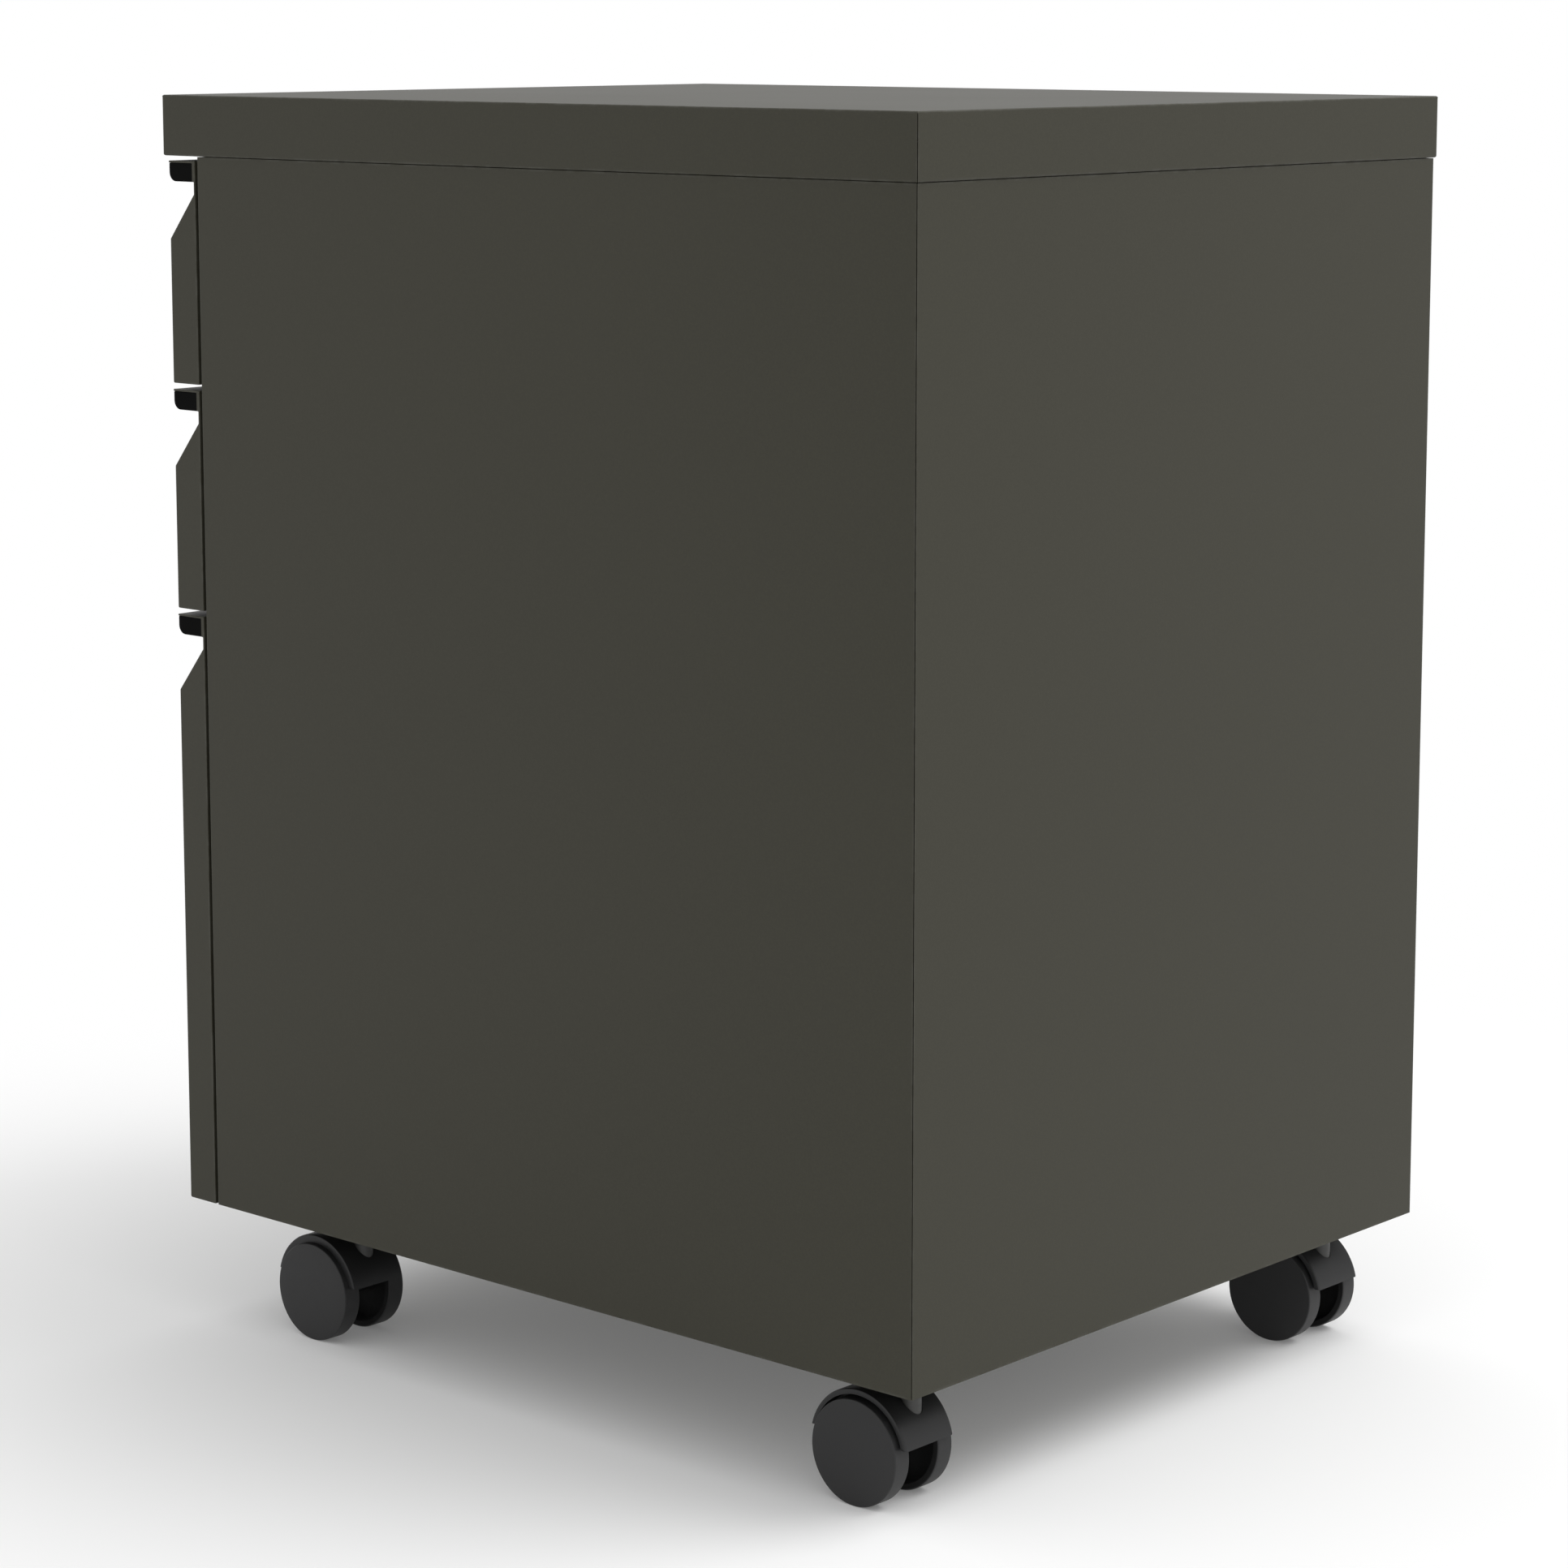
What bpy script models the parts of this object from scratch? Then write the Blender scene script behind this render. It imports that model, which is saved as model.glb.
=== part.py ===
"""Three-drawer steel filing pedestal on four twin-wheel casters.

Units are metres and +Z is up. The origin lies on the floor, under the centre of the top cap.
The drawers face -Y, and +X is on the right of someone who faces them. Each physical piece is
one object. The pieces of a drawer hang on an empty, and so do those of a caster.
"""

from math import cos, hypot, pi, radians, sin

import bmesh
import bpy
from mathutils import Matrix

# Overall sizes
CAP_WIDTH = 0.390
CAP_DEPTH = 0.4812
HEIGHT = 0.618

# Sheet metal and fits
SHEET = 0.001
SEAT = 0.0003             # gap between two pieces that rest on each other
CAP_HEIGHT = 0.0295
CAP_RETURN = 0.012
CAP_OVERHANG = 0.001      # past the side panels and the back panel
POST_INSET = 0.014        # from a side panel's outer face to the faces that carry the runners
FRONT_LIP = 0.025
REAR_POST_DEPTH = 0.055
REAR_LIP = 0.035
FLOOR_FLANGE = 0.012
TOP_RAIL_DEPTH = 0.020
TOP_RAIL_HEIGHT = 0.012

# Cross channels that the caster stems screw into
CHANNEL_SHEET = 0.0015
CHANNEL_WIDTH = 0.030
CHANNEL_FLANGE = 0.008
CHANNEL_HEIGHT = 0.010
CHANNEL_END_GAP = 0.0007

# Drawer fronts
FACE_SETBACK = 0.0029     # from the cap's front to a drawer's face
PULL_SETBACK = 0.0026     # from the cap's front to a pull's face
FRONT_DEPTH = 0.0190      # from a drawer's face to the back of its front
FRONT_GAP = 0.0016        # between a drawer's front and the side panels
CAP_TO_DRAWER = 0.0024
DRAWER_GAP = 0.0030
SHALLOW_HEIGHT = 0.1090
PULL_DROP = 0.0101        # these three are measured down from a drawer's top
SLOPE_DROP = 0.0161
FACE_DROP = 0.0381
HEM = 0.0012
PULL_RADIUS = 0.0036
PULL_LIP = 0.0030
PULL_HEEL = 0.0025
PULL_END = 0.0040
GROOVE_DEPTH = 0.0060
BACK_RETURN = 0.030       # sheet left round the opening in the back of a front
BUMPER_RADIUS = 0.0045
BUMPER_DROP = 0.0500

# Drawer boxes and runners
BOX_REAR_GAP = 0.0486     # from a box to the inside of the back panel
SHALLOW_BOX_DROP = 0.020
SHALLOW_BOX_FOOT = 0.009  # from a front's bottom up to its box
FILE_BOX_DROP = 0.030
THREAD_TO_BOX = 0.0012    # from the caster threads up to the file box
RUNNER_THICKNESS = 0.0127
RUNNER_SHEET = 0.0012
RUNNER_HEIGHT = 0.045
RUNNER_SETBACK = 0.012    # behind the side panels' front edges
RUNNER_HOLD = 0.0103      # length of a runner's rear end that lies on its post
SHALLOW_RUNNER_RAISE = 0.030  # from a shallow box's bottom up to the middle of its runners
FILE_RUNNER_DROP = 0.110  # from the file drawer's top down to the middle of its runners
HANGER_HEIGHT = 0.010
HANGER_SHEET = 0.0010
HANGER_END_GAP = 0.012

# Casters
CASTER_INSET = 0.035      # from a side panel's outer face to the middle of a caster
FRONT_AXLE_INSET = 0.0526  # from the side panels' front edges
REAR_AXLE_INSET = 0.0466  # from the back panel's face
TRAIL = 0.0172            # from an axle back to its stem
WHEEL_RADIUS = 0.02475
WHEEL_WIDTH = 0.010
WHEEL_SIDES = 32
WHEEL_RIM = 0.0030
WHEEL_WEB = 0.0025
WHEEL_EDGE = 0.0006
HUB_RADIUS = 0.0065
CASTER_HALF_WIDTH = 0.020
AXLE_RADIUS = 0.0030
WHEEL_CLEARANCE = 0.00125  # between a tread and the hood over it
WHEEL_PROUD = 0.0034      # how far a wheel's face stands out of its hood
HOOD_WALL = 0.0025
HOOD_TO_BASE = 0.0100
HOOD_REAR_ANGLE = 8       # degrees above the axle at which the hood's wall ends
HOOD_FRONT_ANGLE = 168
BOSS_RADIUS = 0.0070
STEM_RADIUS = 0.0046
THREAD_RADIUS = 0.0040
THREAD_CHAMFER = 0.0005
THREAD_PROUD = 0.0015
SOCKET_DEPTH = 0.0160     # how far a stem reaches into its hood, measured at the stem's axis
ROUND_SIDES = 24

# Sizes that follow from those above
AXLE_Z = WHEEL_RADIUS * cos(pi / WHEEL_SIDES)
HOOD_RADIUS = WHEEL_RADIUS + WHEEL_CLEARANCE + HOOD_WALL
UNDERSIDE = AXLE_Z + HOOD_RADIUS + HOOD_TO_BASE
BODY_HALF = CAP_WIDTH / 2 - CAP_OVERHANG
FRONT_Y = -CAP_DEPTH / 2
BACK_Y = CAP_DEPTH / 2 - CAP_OVERHANG
CAP_UNDERSIDE = HEIGHT - CAP_HEIGHT
PANEL_TOP = CAP_UNDERSIDE - SEAT
FACE_Y = FRONT_Y + FACE_SETBACK
PULL_Y = FRONT_Y + PULL_SETBACK
FRONT_BACK_Y = FACE_Y + FRONT_DEPTH
RECESS_Y = FRONT_BACK_Y - SHEET
PANEL_FRONT_Y = FRONT_BACK_Y + FRONT_GAP
POST_X = BODY_HALF - POST_INSET
INNER_HALF = BODY_HALF - SHEET - SEAT
POST_FRONT_Y = BACK_Y - REAR_POST_DEPTH
RUNNER_X = POST_X - SEAT - RUNNER_THICKNESS
BOX_HALF = RUNNER_X - SEAT
BOX_FRONT_Y = FRONT_BACK_Y + SEAT
BOX_BACK_Y = BACK_Y - SHEET - BOX_REAR_GAP
RUNNER_FRONT_Y = PANEL_FRONT_Y + RUNNER_SETBACK
RUNNER_BACK_Y = POST_FRONT_Y + RUNNER_HOLD
SHALLOW_TOPS = (
    CAP_UNDERSIDE - CAP_TO_DRAWER,
    CAP_UNDERSIDE - CAP_TO_DRAWER - SHALLOW_HEIGHT - DRAWER_GAP,
)
FILE_TOP = SHALLOW_TOPS[1] - SHALLOW_HEIGHT - DRAWER_GAP
FILE_HEIGHT = FILE_TOP - UNDERSIDE
CHANNEL_Z = UNDERSIDE + SHEET + SEAT
THREAD_TOP = CHANNEL_Z + CHANNEL_HEIGHT + THREAD_PROUD
SHALLOW_BOX_HEIGHT = SHALLOW_HEIGHT - SHALLOW_BOX_DROP - SHALLOW_BOX_FOOT
SHALLOW_RUNNER_DROP = SHALLOW_HEIGHT - SHALLOW_BOX_FOOT - SHALLOW_RUNNER_RAISE
FILE_BOX_HEIGHT = FILE_TOP - FILE_BOX_DROP - THREAD_TOP - THREAD_TO_BOX
CASTER_X = BODY_HALF - CASTER_INSET
FRONT_AXLE_Y = PANEL_FRONT_Y + FRONT_AXLE_INSET
REAR_AXLE_Y = BACK_Y - REAR_AXLE_INSET
HOOD_HALF_WIDTH = CASTER_HALF_WIDTH - WHEEL_PROUD
CORE_HALF_WIDTH = CASTER_HALF_WIDTH - WHEEL_WIDTH - SEAT
AXLE_HALF_LENGTH = CASTER_HALF_WIDTH - WHEEL_WEB
HOOD_TOP_AT_STEM = AXLE_Z + (HOOD_RADIUS**2 - TRAIL**2) ** 0.5
STEM_BOTTOM = HOOD_TOP_AT_STEM - SOCKET_DEPTH
CASTERS = {
    "front_left": (-CASTER_X, FRONT_AXLE_Y),
    "front_right": (CASTER_X, FRONT_AXLE_Y),
    "rear_left": (-CASTER_X, REAR_AXLE_Y),
    "rear_right": (CASTER_X, REAR_AXLE_Y),
}
SIDES = {"left": -1, "right": 1}

# Finishes: linear colour, roughness, metallic
PAINT = ((0.058, 0.056, 0.046), 0.55, 0.0)
PULL_PLASTIC = ((0.006, 0.006, 0.005), 0.45, 0.0)
CASTER_PLASTIC = ((0.020, 0.020, 0.021), 0.50, 0.0)
TREAD_PLASTIC = ((0.028, 0.028, 0.029), 0.60, 0.0)
ZINC = ((0.55, 0.56, 0.57), 0.35, 1.0)
STEM_STEEL = ((0.30, 0.30, 0.30), 0.40, 1.0)
RUBBER = ((0.60, 0.60, 0.58), 0.70, 0.0)

# The columns are the world directions that an outline's own x, y and z take. An outline for
# "Y" is (x, z), and its thickness runs towards -Y.
PLANES = {
    "X": Matrix(((0, 0, 1, 0), (1, 0, 0, 0), (0, 1, 0, 0), (0, 0, 0, 1))),
    "Y": Matrix(((1, 0, 0, 0), (0, 0, -1, 0), (0, 1, 0, 0), (0, 0, 0, 1))),
    "Z": Matrix.Identity(4),
}


def clear_scene():
    """Remove every object that the scene starts with."""
    for obj in list(bpy.data.objects):
        bpy.data.objects.remove(obj, do_unlink=True)


def add_collection(name):
    collection = bpy.data.collections.new(name)
    bpy.context.scene.collection.children.link(collection)
    return collection


def coat(obj, finish):
    """Give an object a material of its own."""
    colour, roughness, metallic = finish
    material = bpy.data.materials.new(obj.name + "_finish")
    material.use_nodes = True
    shader = material.node_tree.nodes["Principled BSDF"]
    shader.inputs["Base Color"].default_value = (*colour, 1)
    shader.inputs["Roughness"].default_value = roughness
    shader.inputs["Metallic"].default_value = metallic
    if obj.data.users > 1:
        obj.data = obj.data.copy()
    obj.data.materials.clear()
    obj.data.materials.append(material)


def piece(name, mesh, finish, parent=None, location=(0, 0, 0), rotation=(0, 0, 0)):
    """A finished sub-part in the cabinet's collection."""
    obj = bpy.data.objects.new(name, mesh)
    PARTS.objects.link(obj)
    obj.location = location
    obj.rotation_euler = rotation
    obj.parent = parent
    coat(obj, finish)
    return obj


def helper(mesh):
    """A cutter or an add-on shape, which isn't a part itself."""
    obj = bpy.data.objects.new("helper", mesh)
    CUTTERS.objects.link(obj)
    obj.hide_render = True
    obj.display_type = "WIRE"
    return obj


def combine(obj, operation, meshes):
    """Cut meshes away from an object, or join them to it."""
    for mesh in meshes:
        other = helper(mesh)
        other.parent = obj.parent
        modifier = obj.modifiers.new(operation.lower(), "BOOLEAN")
        modifier.operation = operation
        modifier.object = other
    return obj


def empty(name, location):
    obj = bpy.data.objects.new(name, None)
    PARTS.objects.link(obj)
    obj.location = location
    return obj


def finished_mesh(bm):
    mesh = bpy.data.meshes.new("mesh")
    bm.to_mesh(mesh)
    bm.free()
    return mesh


def box(low, high):
    """A box between two opposite corners."""
    bm = bmesh.new()
    size = [h - l for l, h in zip(low, high)]
    centre = [(h + l) / 2 for l, h in zip(low, high)]
    matrix = Matrix.Translation(centre) @ Matrix.Diagonal((*size, 1))
    bmesh.ops.create_cube(bm, size=1, matrix=matrix)
    return finished_mesh(bm)


def rod(radius, low, high, axis, centre, sides=ROUND_SIDES):
    """A cylinder from low to high along an axis, through a centre given in the other two."""
    bm = bmesh.new()
    place = PLANES[axis] @ Matrix.Translation((*centre, (low + high) / 2))
    turn = Matrix.Rotation(pi / sides, 4, "Z")
    bmesh.ops.create_cone(
        bm, cap_ends=True, segments=sides, radius1=radius, radius2=radius,
        depth=high - low, matrix=place @ turn,
    )
    return finished_mesh(bm)


def prism(outline, axis, low, high):
    """A closed flat outline given a thickness along an axis."""
    curve = bpy.data.curves.new("outline", "CURVE")
    curve.dimensions = "2D"
    curve.fill_mode = "BOTH"
    curve.extrude = (high - low) / 2
    spline = curve.splines.new("POLY")
    spline.points.add(len(outline) - 1)
    for point, (x, y) in zip(spline.points, outline):
        point.co = (x, y, 0, 1)
    spline.use_cyclic_u = True
    obj = bpy.data.objects.new("outline", curve)
    PARTS.objects.link(obj)
    graph = bpy.context.evaluated_depsgraph_get()
    mesh = bpy.data.meshes.new_from_object(obj.evaluated_get(graph))
    bpy.data.objects.remove(obj)
    mesh.transform(PLANES[axis] @ Matrix.Translation((0, 0, (low + high) / 2)))
    bm = bmesh.new()
    bm.from_mesh(mesh)
    bmesh.ops.remove_doubles(bm, verts=bm.verts, dist=1e-6)
    bmesh.ops.recalc_face_normals(bm, faces=bm.faces)
    return finished_mesh(bm)


def bent_surface(path, axis, low, high):
    """An open path swept along an axis, with its faces turned to the path's left."""
    bm = bmesh.new()
    points = [bm.verts.new((x, y, low)) for x, y in path]
    edges = [bm.edges.new(pair) for pair in zip(points, points[1:])]
    swept = bmesh.ops.extrude_edge_only(bm, edges=edges)["geom"]
    new_points = [item for item in swept if isinstance(item, bmesh.types.BMVert)]
    bmesh.ops.translate(bm, verts=new_points, vec=(0, 0, high - low))
    bm.normal_update()
    bm.faces.ensure_lookup_table()
    along = points[1].co - points[0].co
    first = next(face for face in bm.faces if {points[0], points[1]} <= set(face.verts))
    if along.cross(first.normal).z < 0:
        bmesh.ops.reverse_faces(bm, faces=bm.faces)
    bm.transform(PLANES[axis])
    return finished_mesh(bm)


def thicken(obj, thickness, offset):
    """Give an open surface its sheet thickness, along its normals where offset is 1."""
    modifier = obj.modifiers.new("sheet", "SOLIDIFY")
    modifier.thickness = thickness
    modifier.offset = offset
    modifier.use_even_offset = True
    return obj


def folded(name, finish, path, axis, low, high, thickness=SHEET, parent=None):
    """Sheet bent along an open path, whose thickness lies to the left of the path."""
    obj = piece(name, bent_surface(path, axis, low, high), finish, parent)
    return thicken(obj, thickness, 1)


def open_tray(low, high, side, rim=0.0):
    """A thin-walled box with one open side, +Z or -Z, and an optional rim turned inwards."""
    bm = bmesh.new()
    bm.from_mesh(box(low, high))
    bm.normal_update()
    mouth = max(bm.faces, key=lambda face: face.normal.z * side)
    if rim:
        bmesh.ops.inset_region(bm, faces=[mouth], thickness=rim)
    bmesh.ops.delete(bm, geom=[mouth], context="FACES_ONLY")
    return finished_mesh(bm)


def turned(name, finish, profile, sides, parent, location, rotation=(0, 0, 0)):
    """A profile of (radius, height) pairs, listed from top to bottom, spun about its own Z."""
    bm = bmesh.new()
    points = [bm.verts.new((radius, 0, height)) for radius, height in profile]
    for pair in zip(points, points[1:]):
        bm.edges.new(pair)
    obj = piece(name, finished_mesh(bm), finish, parent, location, rotation)
    modifier = obj.modifiers.new("spin", "SCREW")
    modifier.steps = sides
    modifier.render_steps = sides
    modifier.use_merge_vertices = True
    modifier.merge_threshold = 1e-5
    modifier.use_smooth_shade = True
    return obj


def arc(radius, start, end, count, centre=(0, 0)):
    """Points along an arc, with its angles in degrees."""
    angles = [radians(start + (end - start) * i / count) for i in range(count + 1)]
    return [(centre[0] + radius * cos(a), centre[1] + radius * sin(a)) for a in angles]


def mirrored(path, side):
    """A path for the +X side, or its mirror image listed so that left stays left."""
    if side > 0:
        return path
    return [(-x, y) for x, y in reversed(path)]


def stem_holes():
    """Clearance holes for the threads of the caster stems."""
    return [
        rod(THREAD_RADIUS + SEAT, UNDERSIDE - SHEET, THREAD_TOP, "Z", (x, y + TRAIL))
        for x, y in CASTERS.values()
    ]


def make_cap():
    low = (-CAP_WIDTH / 2, FRONT_Y, CAP_UNDERSIDE)
    high = (CAP_WIDTH / 2, -FRONT_Y, HEIGHT)
    thicken(piece("top_cap", open_tray(low, high, -1, CAP_RETURN), PAINT), SHEET, -1)


def make_side_panels():
    """A flat skin with its front edge folded in and back, to carry the runners."""
    path = [
        (POST_X, PANEL_FRONT_Y + FRONT_LIP),
        (POST_X, PANEL_FRONT_Y),
        (BODY_HALF, PANEL_FRONT_Y),
        (BODY_HALF, BACK_Y),
    ]
    for word, side in SIDES.items():
        folded("side_panel_" + word, PAINT, mirrored(path, side), "Z", UNDERSIDE, PANEL_TOP)


def make_back_panel():
    """The back, with a folded post at each end that carries the runners' rear ends."""
    half = [
        (POST_X, POST_FRONT_Y + REAR_LIP),
        (POST_X, POST_FRONT_Y),
        (INNER_HALF, POST_FRONT_Y),
        (INNER_HALF, BACK_Y),
    ]
    path = half + mirrored(half, -1)
    folded("back_panel", PAINT, path, "Z", UNDERSIDE, PANEL_TOP)


def make_base():
    """A tray between the posts, with a tongue on each side that closes the panel above it."""
    half = POST_X - SEAT
    back = BACK_Y - SHEET - SEAT
    low = (-half, PANEL_FRONT_Y, UNDERSIDE)
    pan = piece("base_pan", open_tray(low, (half, back, UNDERSIDE + FLOOR_FLANGE), 1), PAINT)
    thicken(pan, SHEET, -1)
    low = (half - 2 * SHEET, PANEL_FRONT_Y + FRONT_LIP + SEAT, UNDERSIDE)
    high = (INNER_HALF, POST_FRONT_Y - SEAT, UNDERSIDE + SHEET)
    tongues = [box(low, high), box((-high[0], *low[1:]), (-low[0], *high[1:]))]
    combine(pan, "UNION", tongues)
    combine(pan, "DIFFERENCE", stem_holes())


def make_cross_members():
    half = POST_X - SEAT
    rail = [
        (PANEL_FRONT_Y, PANEL_TOP - TOP_RAIL_HEIGHT),
        (PANEL_FRONT_Y, PANEL_TOP),
        (PANEL_FRONT_Y + TOP_RAIL_DEPTH, PANEL_TOP),
    ]
    folded("front_top_rail", PAINT, rail[::-1], "X", -half, half)
    reach = half - SHEET - CHANNEL_END_GAP
    for word, axle_y in (("front", FRONT_AXLE_Y), ("rear", REAR_AXLE_Y)):
        y = axle_y + TRAIL
        foot = CHANNEL_WIDTH / 2 + CHANNEL_FLANGE
        hat = [
            (y - foot, CHANNEL_Z + CHANNEL_SHEET),
            (y - CHANNEL_WIDTH / 2, CHANNEL_Z + CHANNEL_SHEET),
            (y - CHANNEL_WIDTH / 2, CHANNEL_Z + CHANNEL_HEIGHT),
            (y + CHANNEL_WIDTH / 2, CHANNEL_Z + CHANNEL_HEIGHT),
            (y + CHANNEL_WIDTH / 2, CHANNEL_Z + CHANNEL_SHEET),
            (y + foot, CHANNEL_Z + CHANNEL_SHEET),
        ]
        channel = folded(
            "caster_channel_" + word, ZINC, hat[::-1], "X", -reach, reach, CHANNEL_SHEET
        )
        combine(channel, "DIFFERENCE", stem_holes())


def runner(name, side, z, parent, web_x, reach_x, half_height, faces_out):
    """One member of a runner: a C section whose flanges run from its web to reach_x.

    The open side of the section faces away from the cabinet's middle where faces_out is true.
    """
    section = [
        (reach_x, z - half_height),
        (web_x, z - half_height),
        (web_x, z + half_height),
        (reach_x, z + half_height),
    ]
    if faces_out:
        section.reverse()
    section = mirrored(section, side)
    return folded(
        name, ZINC, section, "Y", -RUNNER_BACK_Y, -RUNNER_FRONT_Y, RUNNER_SHEET, parent
    )


def make_runners(word, top, drop, drawer, sections):
    """Both runners of a drawer. The outer members stay in the cabinet."""
    outer_x = POST_X - SEAT
    half = RUNNER_HEIGHT / 2
    nest = RUNNER_SHEET + SEAT
    for side_word, side in SIDES.items():
        z = top - drop
        runner(f"{word}_runner_outer_{side_word}", side, z, None, outer_x, RUNNER_X, half, False)
        if sections == 3:
            runner(
                f"{word}_runner_middle_{side_word}", side, z, None,
                outer_x - nest, RUNNER_X, half - nest, False,
            )
        inner_half = half - nest * (sections - 1)
        reach = outer_x - nest * (sections - 1)
        runner(
            f"{word}_runner_inner_{side_word}", side, -drop, drawer,
            RUNNER_X, reach, inner_half, True,
        )


def front_outline(height):
    """A drawer front in section, as (y, z) from the drawer's top."""
    hem_y = RECESS_Y - HEM
    return [
        (FRONT_BACK_Y, -height),
        (FACE_Y, -height),
        (FACE_Y, -FACE_DROP),
        (RECESS_Y, -SLOPE_DROP),
        (RECESS_Y, -PULL_DROP),
        (hem_y, -PULL_DROP),
        (hem_y, -SHEET),
        (PULL_Y, -SHEET),
        (PULL_Y, 0),
        (FRONT_BACK_Y, 0),
    ]


def front_hollow(height):
    """The space inside a drawer front, one sheet thickness in from its outline."""
    run = RECESS_Y - FACE_Y
    rise = FACE_DROP - SLOPE_DROP
    inset = SHEET * hypot(run, rise) / run
    low = -height + SHEET
    return [
        (RECESS_Y, low),
        (FACE_Y + SHEET, low),
        (FACE_Y + SHEET, -FACE_DROP + rise * SHEET / run - inset),
        (RECESS_Y, -SLOPE_DROP - inset),
    ]


def make_front(word, height, drawer):
    outline = prism(front_outline(height), "X", -BODY_HALF, BODY_HALF)
    front = piece(word + "_front", outline, PAINT, drawer)
    inside = BODY_HALF - SHEET
    hollow = prism(front_hollow(height), "X", -inside, inside)
    opening = box(
        (-BODY_HALF + BACK_RETURN, RECESS_Y - SHEET, -height + BACK_RETURN / 2),
        (BODY_HALF - BACK_RETURN, FRONT_BACK_Y + SHEET, -SLOPE_DROP - BACK_RETURN / 2),
    )
    combine(front, "DIFFERENCE", [hollow, opening])


def make_pull(word, drawer):
    """A grip with a rounded lip, closed at its ends and grooved for the fingers underneath."""
    heel = RECESS_Y - HEM - SEAT
    top = -SHEET - SEAT
    centre = (PULL_Y + PULL_RADIUS, -PULL_DROP + PULL_RADIUS)
    corner = arc(PULL_RADIUS, 180, 270, 6, centre)
    outline = [(heel, top), (PULL_Y, top)] + corner + [(heel, -PULL_DROP)]
    reach = BODY_HALF - SEAT
    pull = piece(word + "_pull", prism(outline, "X", -reach, reach), PULL_PLASTIC, drawer)
    groove = box(
        (-reach + PULL_END, PULL_Y + PULL_LIP, -PULL_DROP - SHEET),
        (reach - PULL_END, heel - PULL_HEEL, -PULL_DROP + GROOVE_DEPTH),
    )
    combine(pull, "DIFFERENCE", [groove])


def make_bumpers(word, drawer):
    """Rubber pads that meet the side panels' front edges when the drawer shuts."""
    thickness = FRONT_GAP - 2 * SEAT
    x = BODY_HALF - POST_INSET / 2
    for side_word, side in SIDES.items():
        pad = [(0, thickness), (BUMPER_RADIUS * 0.8, thickness), (BUMPER_RADIUS, 0), (0, 0)]
        turned(
            f"{word}_bumper_{side_word}", RUBBER, pad, ROUND_SIDES // 2, drawer,
            (side * x, FRONT_BACK_Y + SEAT, -BUMPER_DROP), (-pi / 2, 0, 0),
        )


def make_box(word, drop, height, drawer):
    low = (-BOX_HALF, BOX_FRONT_Y, -drop - height)
    high = (BOX_HALF, BOX_BACK_Y, -drop)
    thicken(piece(word + "_box", open_tray(low, high, 1), PAINT, drawer), SHEET, -1)


def make_hangers(drop, drawer):
    """Rails clipped over the file drawer's side walls, for hanging folders."""
    outer = SHEET / 2 + SEAT + HANGER_SHEET
    for word, side in SIDES.items():
        x = side * (BOX_HALF - SHEET / 2)
        top = -drop + SEAT + HANGER_SHEET
        path = [
            (x - outer, top - HANGER_HEIGHT),
            (x - outer, top),
            (x + outer, top),
            (x + outer, top - HANGER_HEIGHT),
        ]
        folded(
            "file_hanger_rail_" + word, ZINC, path[::-1], "Y",
            -BOX_BACK_Y + HANGER_END_GAP, -BOX_FRONT_Y - HANGER_END_GAP, HANGER_SHEET, drawer,
        )


def make_drawer(word, top, height, box_drop, box_height, runner_drop, sections):
    drawer = empty(word + "_drawer", (0, 0, top))
    make_front(word, height, drawer)
    make_pull(word, drawer)
    make_bumpers(word, drawer)
    make_box(word, box_drop, box_height, drawer)
    make_runners(word, top, runner_drop, drawer, sections)
    return drawer


def make_stem(word, swivel):
    """A plain shank below the base and a thinner threaded end through it."""
    shoulder = UNDERSIDE - SEAT
    profile = [
        (0, THREAD_TOP),
        (THREAD_RADIUS - THREAD_CHAMFER, THREAD_TOP),
        (THREAD_RADIUS, THREAD_TOP - THREAD_CHAMFER),
        (THREAD_RADIUS, shoulder),
        (STEM_RADIUS, shoulder),
        (STEM_RADIUS, STEM_BOTTOM),
        (0, STEM_BOTTOM),
    ]
    turned(f"caster_{word}_stem", STEM_STEEL, profile, ROUND_SIDES, swivel, (0, 0, 0))


def make_hood(word, swivel):
    """A curved guard over both wheels, with a solid core that holds the axle and the stem."""
    axle = (-TRAIL, AXLE_Z)
    guard = arc(HOOD_RADIUS, HOOD_REAR_ANGLE, HOOD_FRONT_ANGLE, 24, axle)
    boss = arc(BOSS_RADIUS, 180, 360, 12, axle)
    outline = guard + [(boss[0][0], guard[-1][1])] + boss + [(boss[-1][0], guard[0][1])]
    blank = prism(outline, "X", -HOOD_HALF_WIDTH, HOOD_HALF_WIDTH)
    hood = piece(f"caster_{word}_hood", blank, CASTER_PLASTIC, swivel)
    well = HOOD_RADIUS - HOOD_WALL
    past = HOOD_HALF_WIDTH + SHEET
    cuts = [
        rod(well, CORE_HALF_WIDTH, past, "X", axle, WHEEL_SIDES),
        rod(well, -past, -CORE_HALF_WIDTH, "X", axle, WHEEL_SIDES),
        rod(AXLE_RADIUS + SEAT, -past, past, "X", axle),
        rod(STEM_RADIUS + SEAT, STEM_BOTTOM - SEAT, UNDERSIDE, "Z", (0, 0)),
    ]
    combine(hood, "DIFFERENCE", cuts)


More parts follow.
